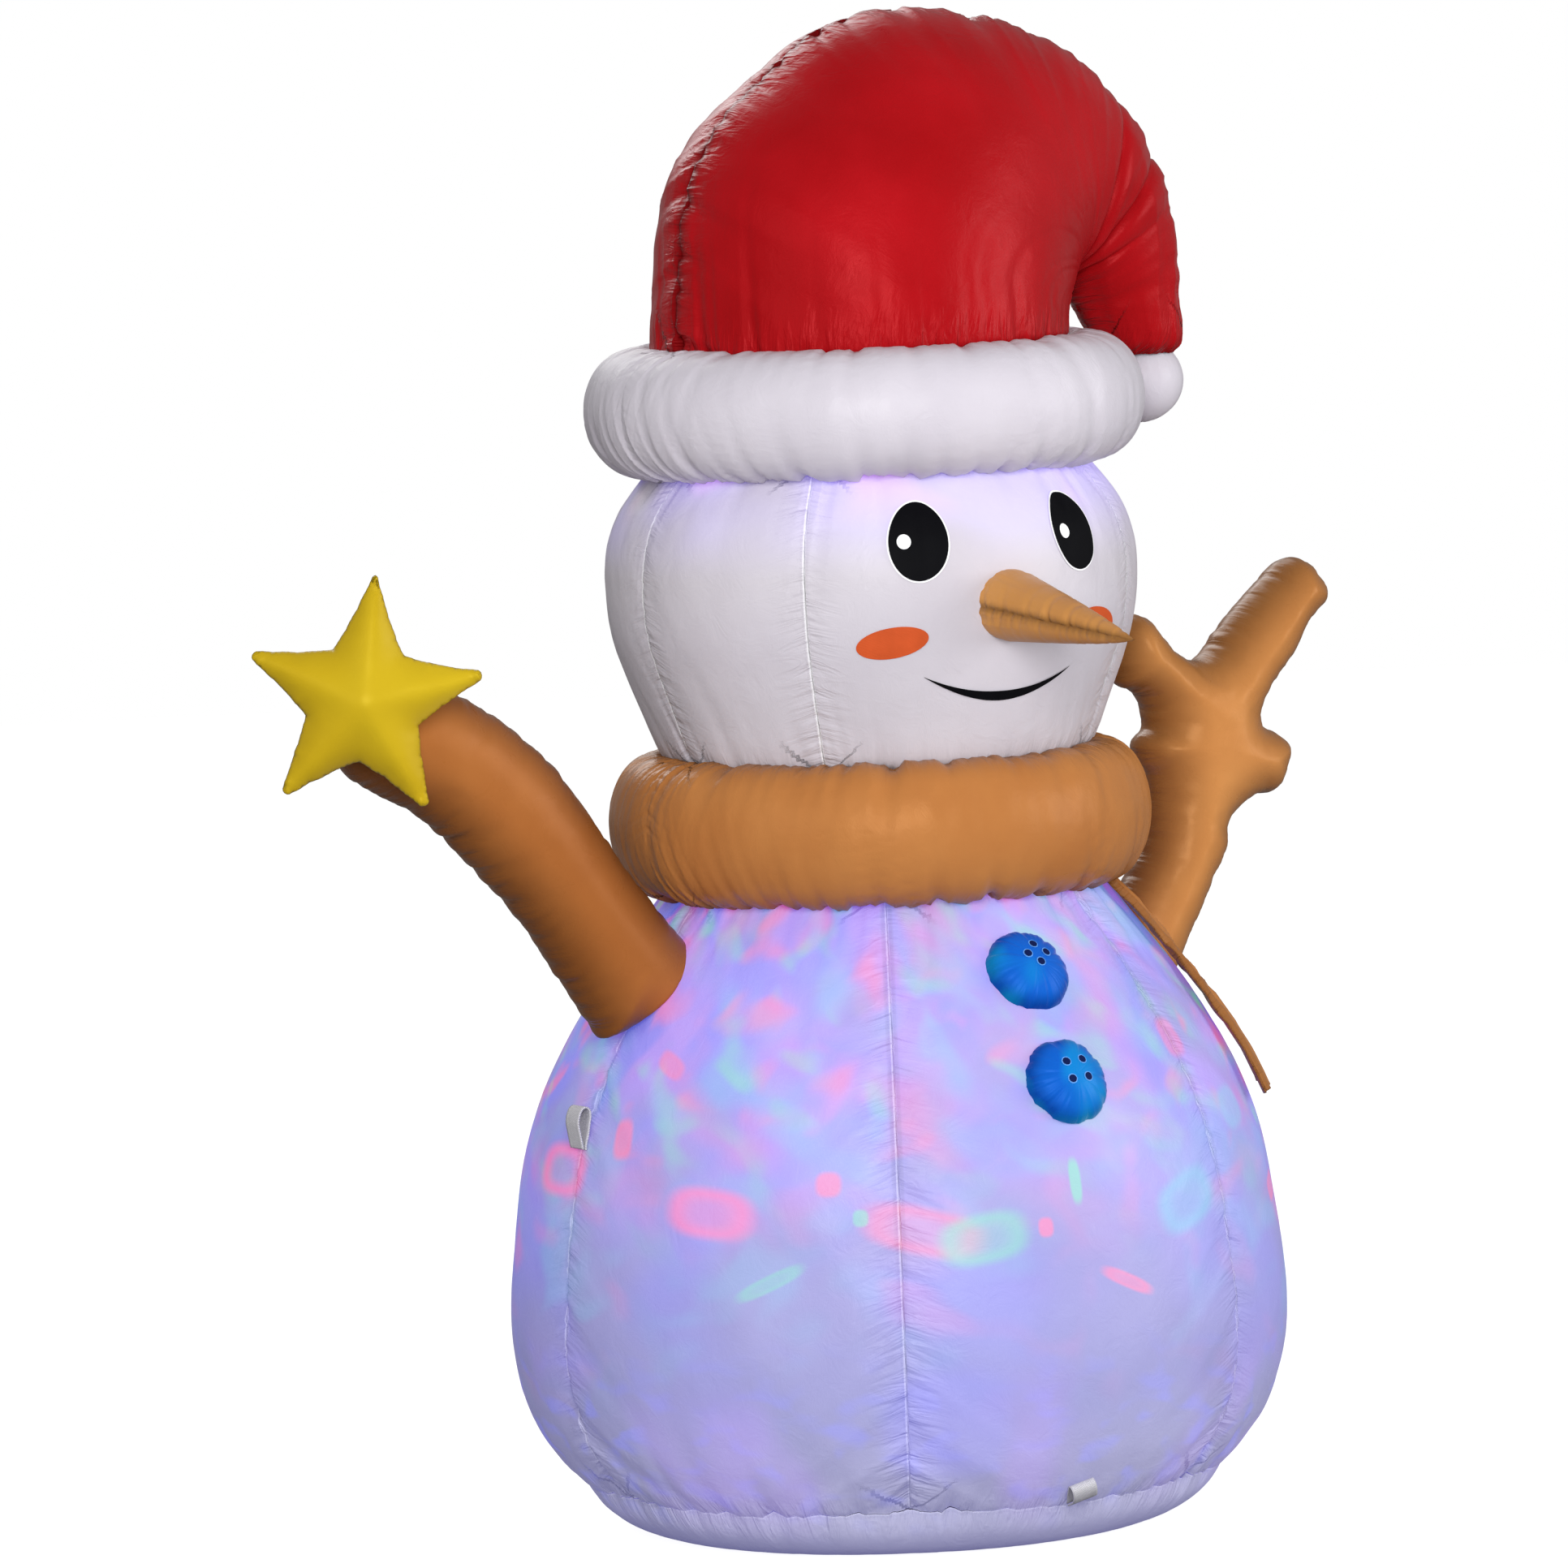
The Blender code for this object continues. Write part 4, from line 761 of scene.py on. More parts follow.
outer, inner = hat_curve[:, 0:2], hat_curve[:, 2:4]
centre_line, half_line = (outer + inner) / 2, (outer - inner) / 2
hat_rows = []
for sign, angles in ((-1, hat_angles[:-1]), (1, hat_angles[:0:-1])):
    flat_part = centre_line[:, None, :] + half_line[:, None, :] * np.cos(angles)[None, :, None]
    across = hat_curve[:, 5:6] + sign * hat_curve[:, 4:5] * np.sin(angles)[None, :]
    hat_rows.append(np.stack([flat_part[..., 0], across, flat_part[..., 1]], axis=-1))
hat_points = np.concatenate(hat_rows, axis=1)


def grid_normals(points):
    """Outward normals of a closed grid of points."""
    along = np.gradient(points, axis=0)
    round_it = np.roll(points, -1, axis=1) - np.roll(points, 1, axis=1)
    normals = np.cross(round_it, along)
    normals /= np.linalg.norm(normals, axis=2)[..., None] + 1e-12
    middle = points.mean(axis=1, keepdims=True)
    if ((points - middle) * normals).sum() < 0:
        normals = -normals
    return normals


hat_out = grid_normals(hat_points)
step_round = np.linalg.norm(np.roll(hat_points, -1, axis=1) - hat_points, axis=2)
run_round = np.cumsum(step_round, axis=1) - step_round
whole = step_round.sum(axis=1, keepdims=True)
crest_side = np.minimum(run_round, whole - run_round)
inner_side = np.abs(run_round - whole / 2)
step_up = np.linalg.norm(np.diff(hat_points, axis=0), axis=2)
run_up = np.vstack([np.zeros((1, hat_points.shape[1])), np.cumsum(step_up, axis=0)])
outer_run = run_up[:, :1]
half_of = np.where(run_round < whole / 2, 0.0, 0.31)
station = np.linspace(0, 1, len(hat_points))[:, None]
crest = gathers(crest_side, outer_run + half_of, None, (0.0050, 0.022, 0.019, 0.35, 61),
                (0.0044, 0.065, 0.065, 0.30, 63)) - 0.0012 * np.exp(-crest_side / 0.005)
droop = np.exp(-((station - 0.74) / 0.16) ** 2)
folds = droop * gathers(inner_side, station + half_of, None, (0.0090, 0.060, 0.075, 0.25, 65))
past_dome = np.clip((station - 0.35) * 5, 0, 1)
folds = folds + past_dome * gathers(inner_side, outer_run + half_of, None, (0.0022, 0.022, 0.028, 0.0, 67))
crease_lean = 0.10 * inner_side + 0.02 * (half_of > 0)
for bend, deep, width, fade in ((0.690, 0.0200, 0.009, 0.170), (0.765, 0.0230, 0.008, 0.150),
                                (0.815, 0.0110, 0.009, 0.080)):
    bent = np.exp(-np.abs(station - bend - crease_lean) / width)
    folds = folds - deep * bent * np.exp(-(inner_side / fade) ** 2)
rim_length = 1.06
around_rim = run_round * (rim_length / whole[0, 0])
above_brim = gathers(run_up, around_rim, rim_length, (0.0050, 0.050, 0.030, 0.15, 69),
                     (0.0014, 0.018, 0.012, 0.0, 70))
tail_left = run_up[-1:, :] - run_up
at_pompom = gathers(tail_left, run_round / whole, 1.0, (0.0026, 0.030, 0.085, 0.0, 71))
dents = 0.0022 * ripple(run_up * 0.8 + run_round * 0.6, 0.150, 73) * np.clip(run_up / 0.05, 0, 1)
hat_push = crest + folds + above_brim + at_pompom + dents
hat_points = hat_points + hat_out * hat_push[..., None]
to_seam, to_end = np.minimum(crest_side, inner_side), np.minimum(run_up, tail_left)
hat_shell = cloth_grid("hat_shell", hat_points, np.minimum(to_seam, to_end),
                       np.where(to_end < to_seam, around_rim, outer_run))
hat_satin = satin("hat_satin", (0.390, 0.006, 0.010), (0.310, 0.004, 0.006), 0.33, 0.0100, 0.060, 0.8, 0.014)
sewn_on(hat_shell, hat_satin, ["hat_panel_front", "hat_panel_back"])


# ---------------------------------------------------------------- arms
# Two flat panels of brown satin are sewn edge to edge and blown up. The flat cut has more edge than a round
# tube needs, so the seam puckers all along. The arms are open at the body, where the air comes in.
def sewn_pillow(name, outline, spacing, depth_at, open_end, place=Matrix()):
    """Front and back panels sewn along an outline in the XZ plane, raised by depth_at(distance to the seam).

    With open_end, the outline's last edge isn't sewn: it is the mouth, which lies inside the body."""
    outline = np.array(outline)
    starts, ends = outline, np.roll(outline, -1, axis=0)
    lengths = np.linalg.norm(ends - starts, axis=1)
    run_at = np.concatenate([[0], np.cumsum(lengths)[:-1]])
    sewn = slice(0, len(outline) - 1) if open_end else slice(None)

    def nearest(points, edges):
        a, b = starts[edges], ends[edges]
        along = b - a
        share = np.einsum("pek,ek->pe", points[:, None] - a[None], along) / (along ** 2).sum(axis=1)[None]
        share = share.clip(0, 1)
        gap = np.linalg.norm(points[:, None] - a[None] - share[..., None] * along[None], axis=2)
        best = gap.argmin(axis=1)
        pick = np.arange(len(points))
        return gap[pick, best], run_at[edges][best] + share[pick, best] * lengths[edges][best]

    low, high = outline.min(axis=0), outline.max(axis=0)
    rows = np.arange(low[1], high[1], spacing * 0.866)
    grid = np.array([(x + (0.5 * spacing if k % 2 else 0), z) for k, z in enumerate(rows)
                     for x in np.arange(low[0], high[0], spacing)])
    gap, _ = nearest(grid, slice(None))
    grid = grid[gap > 0.6 * spacing]
    loop = [(i, (i + 1) % len(outline)) for i in range(len(outline))]
    points = [Vector(p) for p in np.vstack([outline, grid])]
    found, _, faces, *_ = delaunay_2d_cdt(points, loop, [], 1, 1e-7)
    flat = np.array([tuple(p) for p in found])
    side, run = nearest(flat, sewn)
    depth = depth_at(side)
    bm = bmesh.new()
    side_layer = bm.verts.layers.float.new("seam_side")
    run_layer = bm.verts.layers.float.new("seam_run")
    sheets = []
    for sign in (-1, 1):
        sheet = []
        for i, (x, z) in enumerate(flat):
            if sign > 0 and side[i] < 1e-5:
                sheet.append(sheets[0][i])
                continue
            vert = bm.verts.new(place @ Vector((x, sign * depth[i], z)))
            vert[side_layer], vert[run_layer] = side[i], run[i]
            sheet.append(vert)
        sheets.append(sheet)
    for sheet, flip in zip(sheets, (False, True)):
        for face in faces:
            if side[list(face)].max() < 1e-5:
                continue
            corners = [sheet[i] for i in face]
            bm.faces.new(corners[::-1] if flip else corners)
    at_mouth = set()
    if open_end:
        rim = [e for e in bm.edges if e.is_boundary]
        at_mouth = {v for e in rim for v in e.verts}
        bmesh.ops.holes_fill(bm, edges=rim, sides=0)
        bmesh.ops.triangulate(bm, faces=[f for f in bm.faces if len(f.verts) > 4])
    bmesh.ops.recalc_face_normals(bm, faces=bm.faces)
    bm.verts.index_update()
    pinned = [v.index for v in at_mouth]
    return set_down(name, bm), pinned


def blow_up(piece, pinned, pressure, shrink, most):
    """Lets the sewn piece take its shape under air pressure as cloth, then keeps that shape.

    The pinned points stay where they are sewn to the body, and no point moves further than most."""
    frames = 16
    scene = bpy.context.scene
    rest = np.array([v.co for v in piece.data.vertices])
    if pinned:
        piece.vertex_groups.new(name="mouth").add(pinned, 1.0, "REPLACE")
    cloth = piece.modifiers.new("air", "CLOTH")
    settings = cloth.settings
    settings.quality = 6
    settings.mass = 0.06
    settings.tension_stiffness = settings.compression_stiffness = 22
    settings.shear_stiffness = 6
    settings.bending_stiffness = 0.03
    settings.tension_damping = settings.compression_damping = 6
    settings.use_pressure = True
    settings.uniform_pressure_force = pressure
    settings.shrink_min = shrink
    settings.effector_weights.gravity = 0.0
    settings.air_damping = 2.0
    if pinned:
        settings.vertex_group_mass = "mouth"
    cloth.collision_settings.use_collision = False
    cloth.collision_settings.use_self_collision = False
    for frame_number in range(1, frames + 1):
        scene.frame_set(frame_number)
    settled = piece.evaluated_get(bpy.context.evaluated_depsgraph_get())
    moved = np.array([v.co for v in settled.data.vertices])
    piece.modifiers.remove(cloth)
    scene.frame_set(1)
    step = moved - rest
    length = np.linalg.norm(step, axis=1)[:, None]
    step *= np.minimum(1, most / np.maximum(length, 1e-9))
    piece.data.vertices.foreach_set("co", (rest + step).astype(np.float32).ravel())
    piece.data.update()


def seam_pucker(piece, depth, reach, length, seed):
    """Pinches a sewn edge: small gathers that cross the seam and fade into the panel."""
    mesh = piece.data
    count = len(mesh.vertices)
    normals, places, side, run = np.zeros(count * 3), np.zeros(count * 3), np.zeros(count), np.zeros(count)
    mesh.vertices.foreach_get("normal", normals)
    mesh.vertices.foreach_get("co", places)
    mesh.attributes["seam_side"].data.foreach_get("value", side)
    mesh.attributes["seam_run"].data.foreach_get("value", run)
    folds = gathers(side, run, None, (depth, reach, length, 0.3, seed),
                    (0.6 * depth, 2.5 * reach, 2.6 * length, -0.4, seed + 1))
    mesh.vertices.foreach_set("co", places + (normals.reshape(-1, 3) * folds[:, None]).ravel())
    mesh.update()


def keep_shape(piece, modifier):
    """Keeps what a modifier does to a piece as its mesh."""
    piece.data = bpy.data.meshes.new_from_object(piece.evaluated_get(bpy.context.evaluated_depsgraph_get()))
    piece.modifiers.remove(modifier)


def refine(piece):
    """Subdivides a settled piece once more."""
    smooth = piece.modifiers.new("refine", "SUBSURF")
    smooth.levels = smooth.render_levels = 1
    keep_shape(piece, smooth)
    piece.data.name = f"{piece.name}_fine"
    piece.data.shade_smooth()


right_arm_line = [(-0.1930, 0.4840), (-0.2380, 0.5400), (-0.2770, 0.5970), (-0.3110, 0.6370),
                  (-0.3600, 0.6750), (-0.4080, 0.6960), (-0.4480, 0.6930), (-0.4750, 0.6640),
                  (-0.4740, 0.6310), (-0.4410, 0.6070), (-0.4080, 0.5870), (-0.3600, 0.5390),
                  (-0.3230, 0.4980), (-0.2800, 0.4340), (-0.2620, 0.4080)]
left_arm_line = [(0.2590, 0.4100), (0.2810, 0.4480), (0.2985, 0.4800), (0.3165, 0.5120), (0.3200, 0.5330),
                 (0.3400, 0.5500), (0.3680, 0.5560), (0.3810, 0.5830), (0.3790, 0.5960), (0.3540, 0.6130),
                 (0.3610, 0.6320), (0.3850, 0.6600), (0.4020, 0.6850), (0.4215, 0.7050), (0.4150, 0.7260),
                 (0.4040, 0.7360), (0.3860, 0.7380), (0.3530, 0.7110), (0.3330, 0.6930), (0.3030, 0.6650),
                 (0.2740, 0.6760), (0.2520, 0.7020), (0.2260, 0.7000), (0.2185, 0.6750), (0.2260, 0.6500),
                 (0.2460, 0.6380), (0.2560, 0.6160), (0.2460, 0.6050), (0.2460, 0.5870), (0.2560, 0.5700),
                 (0.2480, 0.5200), (0.2160, 0.4740), (0.2060, 0.4550)]
arm_depth, arm_full_at, mouth_inside, arm_stitch = 0.0440, 0.0520, 0.020, 0.0042
arm_folds = (0.30, 0.0035, 0.018, 0.35, 0.042)
# Both arms are the same satin: the right arm's copy is painted darker as shade and the left arm's lighter as
# if lit.
shaded_right_arm_satin = satin("shaded_right_arm_satin", (0.400, 0.142, 0.036), (0.330, 0.108, 0.026), *arm_folds)
lit_left_arm_satin = satin("lit_left_arm_satin", (0.580, 0.248, 0.074), (0.500, 0.202, 0.058), *arm_folds)


def arm_shape(side):
    """How far an arm swells at a distance from its seam, before the air settles it."""
    return arm_depth * np.sqrt(1 - (1 - (side / arm_full_at).clip(0, 1)) ** 2)


for word, line, seed, inward, lifted, cloth in (
        ("right", right_arm_line, 81, mouth_inside, 0.006, shaded_right_arm_satin),
        ("left", left_arm_line, 91, -mouth_inside, 0.0, lit_left_arm_satin)):
    length = sum(math.dist(a, b) for a, b in zip(line, line[1:]))
    edge, _ = smooth_line(line, round(length / arm_stitch))
    low_end, high_end = [(x + inward, z + lifted) for x, z in (line[-1], line[0])]
    arm, mouth_points = sewn_pillow(f"{word}_arm", np.vstack([high_end, edge, low_end]), 0.0050, arm_shape,
                                    True)
    blow_up(arm, mouth_points, 2.2, -0.02, 0.010)
    seam_pucker(arm, 0.0026, 0.009, 0.012, seed)
    refine(arm)
    sewn_on(arm, cloth, [f"{word}_arm_panel_front", f"{word}_arm_panel_back"])


# ---------------------------------------------------------------- star
# A five-pointed pillow of yellow satin, sewn like the arms and stitched to the end of the right one.
star_centre = Vector((-0.4870, -0.0560, 0.6900))
star_point, star_waist, star_swell = 0.1030, 0.0480, 0.0290
star_place = Matrix.Translation(star_centre) @ Matrix.Rotation(math.radians(-28.0), 4, "Z")
star_lean, star_bow = 7.5, 0.0022
star_corners = [(r * math.cos(a), r * math.sin(a)) for r, a in
                ((star_waist if i % 2 else star_point,
                  math.radians(90 - star_lean + 36 * i)) for i in range(10))]
star_edge = []
for here, after in zip(star_corners, star_corners[1:] + star_corners[:1]):
    for share in np.linspace(0, 1, 15, endpoint=False):
        across = Vector(here).lerp(Vector(after), share)
        star_edge.append(tuple(across - across.normalized() * star_bow * math.sin(math.pi * share)))


def star_shape(side):
    """Thick at the heart and thinner towards the points."""
    return star_swell * (side / star_waist).clip(0, 1) ** 0.62


star, _ = sewn_pillow("star", star_edge, 0.0045, star_shape, False, star_place)
blow_up(star, [], 1.6, -0.01, 0.007)
inner = [i for i, gap in enumerate(star.data.attributes["seam_side"].data) if gap.value > 0.003]
star.vertex_groups.new(name="inner").add(inner, 1.0, "REPLACE")
eased = star.modifiers.new("eased", "SMOOTH")
eased.factor, eased.iterations, eased.vertex_group = 0.5, 14, "inner"
keep_shape(star, eased)
seam_pucker(star, 0.0011, 0.005, 0.012, 101)
refine(star)
star_satin = satin("star_satin", (0.510, 0.350, 0.012), (0.440, 0.295, 0.010), 0.36, 0.0012, 0.007, 0.35,
                   0.0015)
sewn_on(star, star_satin, ["star_panel_front", "star_panel_back"])


# ---------------------------------------------------------------- nose
# A cone of orange-brown satin in two panels, with a seam along each side and gathers where it meets the head.
nose_root, nose_tip = Vector((0.0, -0.1980, 0.7390)), Vector((0.0, -0.3900, 0.7170))
nose_radius, nose_turn = 0.0300, 2 * math.pi * 0.0300
nose_axis = nose_tip - nose_root
nose_forward = nose_axis.normalized()
nose_up = (Vector((0, 0, 1)) - nose_forward * nose_forward.z).normalized()
nose_across = nose_forward.cross(nose_up)
nose_share = 1 - (1 - np.linspace(0, 1, 110)[:, None]) ** 1.15
nose_angle = np.linspace(0, 2 * math.pi, 144, endpoint=False)[None, :]
nose_width = nose_radius * np.clip(1 - nose_share, 0, 1) ** 0.78 * np.where(nose_share < 0.10, 0.90
                                                                            + nose_share, 1.0)
from_seam = np.minimum(np.abs(np.sin(nose_angle)), 1) * nose_width
nose_run = nose_share * nose_axis.length
upper_half = 0.4 * (np.sin(nose_angle) > 0)
nose_folds = gathers(from_seam, nose_run + upper_half, None, (0.0024, 0.010, 0.015, 0.3, 111))
nose_folds = nose_folds - 0.0030 * np.exp(-from_seam / 0.0035)
nose_folds = nose_folds + gathers(nose_run, nose_angle * nose_radius, nose_turn,
                                  (0.0018, 0.030, 0.019, 0.0, 113))
nose_reach = nose_width + nose_folds * np.clip(nose_width / 0.012, 0.15, 1)
middle = np.array(nose_root) + np.array(nose_axis) * nose_share[..., None]
sideways, upwards = [part[..., None] for part in (np.cos(nose_angle), np.sin(nose_angle))]
spokes = sideways * np.array(nose_across) + upwards * np.array(nose_up)
nose_points = middle + nose_reach[..., None] * spokes
nose = cloth_grid("nose", nose_points, from_seam, nose_run + 0 * nose_angle)
nose_satin = satin("nose_satin", (0.600, 0.285, 0.085), (0.520, 0.235, 0.068), 0.38, 0.0030, 0.016, 0.4,
                   0.008)
sewn_on(nose, nose_satin, ["nose_panel_upper", "nose_panel_lower"])


# ---------------------------------------------------------------- buttons
# Puffed discs of blue nylon, gathered into their seam all round, with four printed holes each.
button_radius, button_depth = 0.0345, 0.0175
rim_turn = 2 * math.pi * button_radius
button_blue = satin("button_blue", (0.006, 0.100, 0.440), (0.004, 0.080, 0.380), 0.34, 0.0030, 0.014, 0.4,
                    0.010)
# Painted light: the buttons glow dark blue, with brighter, greener patches where the noise is high.
blue_shader, blue_add, blue_join = tools_for(button_blue)
button_glow_patches = cloudy(blue_add, blue_add("ShaderNodeTexCoord").outputs["Object"], 30.0, 1.0)
shine = from_to(blue_add, button_glow_patches, 0.0, 1.0, start=0.46, end=0.70)
blue_join(mixed(blue_add, shine, (0.0, 0.008, 0.110, 1), (0.0, 0.130, 0.170, 1)), "Emission Color")
blue_shader.inputs["Emission Strength"].default_value = 1.0
navy_ink = print_ink("navy_ink", (0.004, 0.010, 0.060), 0.5)
pale_ink = print_ink("pale_ink", (0.10, 0.28, 0.68), 0.5)
body_skin = skin_of(body_shell)


def button_rise(share):
    """How far a button's face stands up, from its middle at 0 to its rim at 1."""
    return button_depth * (1 - share ** 2.4) ** 0.62


for word, height, seed, hole_turn, hole_centre, hole_gap in (("upper", 0.4520, 121, 45, (0.003, 0.007),
                                                              0.0085),
                                                             ("lower", 0.3700, 131, 3, (0.002, 0.004),
                                                              0.0105)):
    below, foot, above = [laid_on(body_skin, 0.0, height + off, 0.0) for off in (-0.03, 0.0, 0.03)]
    button_up = (above - below).normalized()
    button_out = Vector((1, 0, 0)).cross(button_up).normalized()
    angle = np.linspace(0, 2 * math.pi, 180, endpoint=False)[None, :]
    share = np.linspace(0.0, 1, 46)[:, None]
    rim_run = angle * button_radius
    uneven = 0.050 * ripple(rim_run, 0.024, seed, rim_turn) + 0.022 * ripple(rim_run, 0.011, seed + 3,
                                                                             rim_turn)
    reach = share * button_radius * (1 + uneven)
    from_rim = (1 - share) * button_radius
    creases = gathers(from_rim, rim_run, rim_turn, (0.0026, 0.010, 0.012, 0.0, seed + 1))
    lift = button_rise(share) + creases * np.clip(from_rim / 0.002, 0, 1)
    across, up = reach * np.cos(angle), reach * np.sin(angle)
    lift = lift - across ** 2 / (2 * foot.xy.length)
    points = np.array(foot) + sum(part[..., None] * np.array(way) for part, way in
                                  ((across, (1.0, 0, 0)), (up, button_up), (lift, button_out)))
    button = cloth_grid(f"{word}_button", points, from_rim + 0 * angle, rim_run + 0 * share)
    sewn_on(button, button_blue, [f"button_{word}"])

    def on_button(x, z, off):
        """The point of this button's face at an offset from its middle."""
        lift = button_rise(min(math.hypot(x, z) / button_radius, 0.98)) - x * x / (2 * foot.xy.length) + off
        return foot + Vector((x, 0, 0)) + button_up * z + button_out * lift

    for hole in range(4):
        turned_by = math.radians(hole_turn + 45 + 90 * hole)
        x = hole_centre[0] + hole_gap * math.cos(turned_by)
        z = hole_centre[1] + hole_gap * math.sin(turned_by)
        for label, radius, off, ink in (("rim", 0.0040, 0.0005, pale_ink),
                                        ("hole", 0.0032, 0.0008, navy_ink)):
            bm = bmesh.new()
            ring = [bm.verts.new(on_button(x + radius * math.cos(t), z + radius * math.sin(t), off))
                    for t in (2 * math.pi * k / 20 for k in range(20))]
            centre = bm.verts.new(on_button(x, z, off))
            for k in range(20):
                bm.faces.new((centre, ring[k], ring[(k + 1) % 20]))
            sewn_on(set_down(f"{word}_button_{label}_{hole}", bm, smooth=False), ink)


# ---------------------------------------------------------------- pompom
# A small bag of the brim's white nylon, gathered tight round the end of the hat's tail.
pompom_centre, pompom_size = np.array((0.2740, 0.0240, 0.8925)), np.array((0.0345, 0.0335, 0.0335))
pompom_mean, tie_hole = 0.034, 0.02
tilt_angle = np.linspace(tie_hole, math.pi - tie_hole, 90)[:, None]
round_angle = np.linspace(0, 2 * math.pi, 160, endpoint=False)[None, :]
belt, belt_turn = round_angle * pompom_mean, 2 * math.pi * pompom_mean
from_top, from_bottom = tilt_angle * pompom_mean, (math.pi - tilt_angle) * pompom_mean
creases = gathers(from_top, belt, belt_turn, (0.0024, 0.022, 0.016, 0.0, 141))
creases = creases + gathers(from_bottom, belt, belt_turn, (0.0012, 0.020, 0.022, 0.0, 143))
creases = creases + 0.0008 * ripple(belt + 0.5 * from_top, 0.040, 145, belt_turn)
reach = 1 + creases / pompom_mean
ball = np.stack([np.sin(tilt_angle) * np.cos(round_angle), np.sin(tilt_angle) * np.sin(round_angle),
                 np.cos(tilt_angle) + 0 * round_angle], axis=-1)
pompom = cloth_grid("pompom", pompom_centre + ball * pompom_size * reach[..., None], 0.05 + 0 * reach,
                    belt + 0 * tilt_angle)
sewn_on(pompom, brim_nylon, ["hat_pompom"])


# ---------------------------------------------------------------- scarf tail
# A doubled strip of the scarf's satin, sewn under the band at the left shoulder. It hangs down the side of
# the body, is pinched in at its middle, and ends in a cut fringe.
tail_azimuth, tail_half, fringe_cut, fringe_count = 60.0, 0.0500, 0.040, 7
tail_line = [(0.1790, 0.5100), (0.1870, 0.4990), (0.2110, 0.4700), (0.2340, 0.4370), (0.2600, 0.4030),
             (0.2830, 0.3660), (0.2980, 0.3330)]
tail_curve, tail_run = smooth_line(tail_line, 90)
tail_length = tail_run[-1]
tail_columns = 71
across_share = np.linspace(-1, 1, tail_columns)[None, :]
run = tail_run[:, None]
from_pinch = run - 0.42 * tail_length
pinch = 1 - 0.22 * np.exp(-(from_pinch / 0.030) ** 2)
strip = tail_half * across_share * pinch
depth = 0.0022 * np.sin(3.4 * math.pi * across_share + 4.0 * run) * np.clip(run / 0.03, 0, 1)
depth = depth + 0.0022 * np.exp(-(from_pinch / 0.035) ** 2) * ripple(strip + 0.3 * run, 0.020, 151)
depth = depth + 0.0014 * ripple(run + 0.4 * strip, 0.034, 153) * np.clip(run / 0.03, 0, 1)
tangent = np.gradient(tail_curve, axis=0)
tangent /= np.linalg.norm(tangent, axis=1)[:, None]
out, up = -tangent[:, 1:], tangent[:, :1]
off_body = 0.0020
radius = tail_curve[:, :1] + out * (depth + off_body)
height = tail_curve[:, 1:] + up * (depth + off_body)
angle = math.radians(tail_azimuth) + strip / tail_curve[:, :1]
tail_points = np.stack([radius * np.sin(angle), -radius * np.cos(angle), height], axis=-1)
from_edge = tail_half * (1 - np.abs(across_share)) + 0 * run
scarf_tail = cloth_grid("scarf_tail_cloth", tail_points, from_edge, run + 0 * strip, closed=False)
bm = bmesh.new()
bm.from_mesh(scarf_tail.data)
bm.faces.ensure_lookup_table()
cut_from = int(np.searchsorted(tail_run, tail_length - fringe_cut))
prong = (tail_columns - 1) / fringe_count
gaps = {round(prong * k) for k in range(1, fringe_count)}
cuts = [bm.faces[row * (tail_columns - 1) + column] for row in range(cut_from, len(tail_run) - 1)
        for column in gaps]
bmesh.ops.delete(bm, geom=cuts, context="FACES")
bm.to_mesh(scarf_tail.data)
bm.free()


def thicken(piece, name, thickness):
    """Gives a sheet its thickness, half to each side."""
    wall = piece.modifiers.new(name, "SOLIDIFY")
    wall.thickness, wall.offset = thickness, 0.0


thicken(scarf_tail, "doubled", 0.0012)
scarf_tail.data.materials.append(scarf_satin)
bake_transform(scarf_tail)
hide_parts("scarf_tail")


# ---------------------------------------------------------------- tie-down loops
# Folded tabs of grey-white herringbone webbing, sewn into the side seams and the bottom seam. The guy ropes
# tie to them.
webbing_width, webbing_thick = 0.0200, 0.0014
loop_line = [(-0.004, 0.0010), (0.0, 0.0022), (0.008, 0.0030), (0.016, 0.0046), (0.022, 0.0058),
             (0.0262, 0.0080), (0.0276, 0.0112), (0.0258, 0.0142), (0.0205, 0.0154), (0.0135, 0.0142),
             (0.0065, 0.0102), (0.0, 0.0062), (-0.004, 0.0035)]


def webbing(name, colour):
    """Herringbone-woven polyester tape: rows of slanted yarns that change direction every few millimetres."""
    made, shader, add, join, _ = new_finish(name)
    across, along = seam_values(add)
    chevron, yarn_width = 0.0025, 0.0013
    slanted = times(add, maths(add, "ADD", along, maths(add, "PINGPONG", across, chevron)),
                    2 * math.pi / yarn_width)
    yarn = maths(add, "MULTIPLY_ADD", maths(add, "SINE", slanted), 0.5, 0.5)
    join(mixed(add, yarn, (*(0.55 * c for c in colour), 1), (*colour, 1)), "Base Color")
    join(raised(add, yarn, 0.6, 0.0005), "Normal")
    shader.inputs["Roughness"].default_value = 0.8
    return made


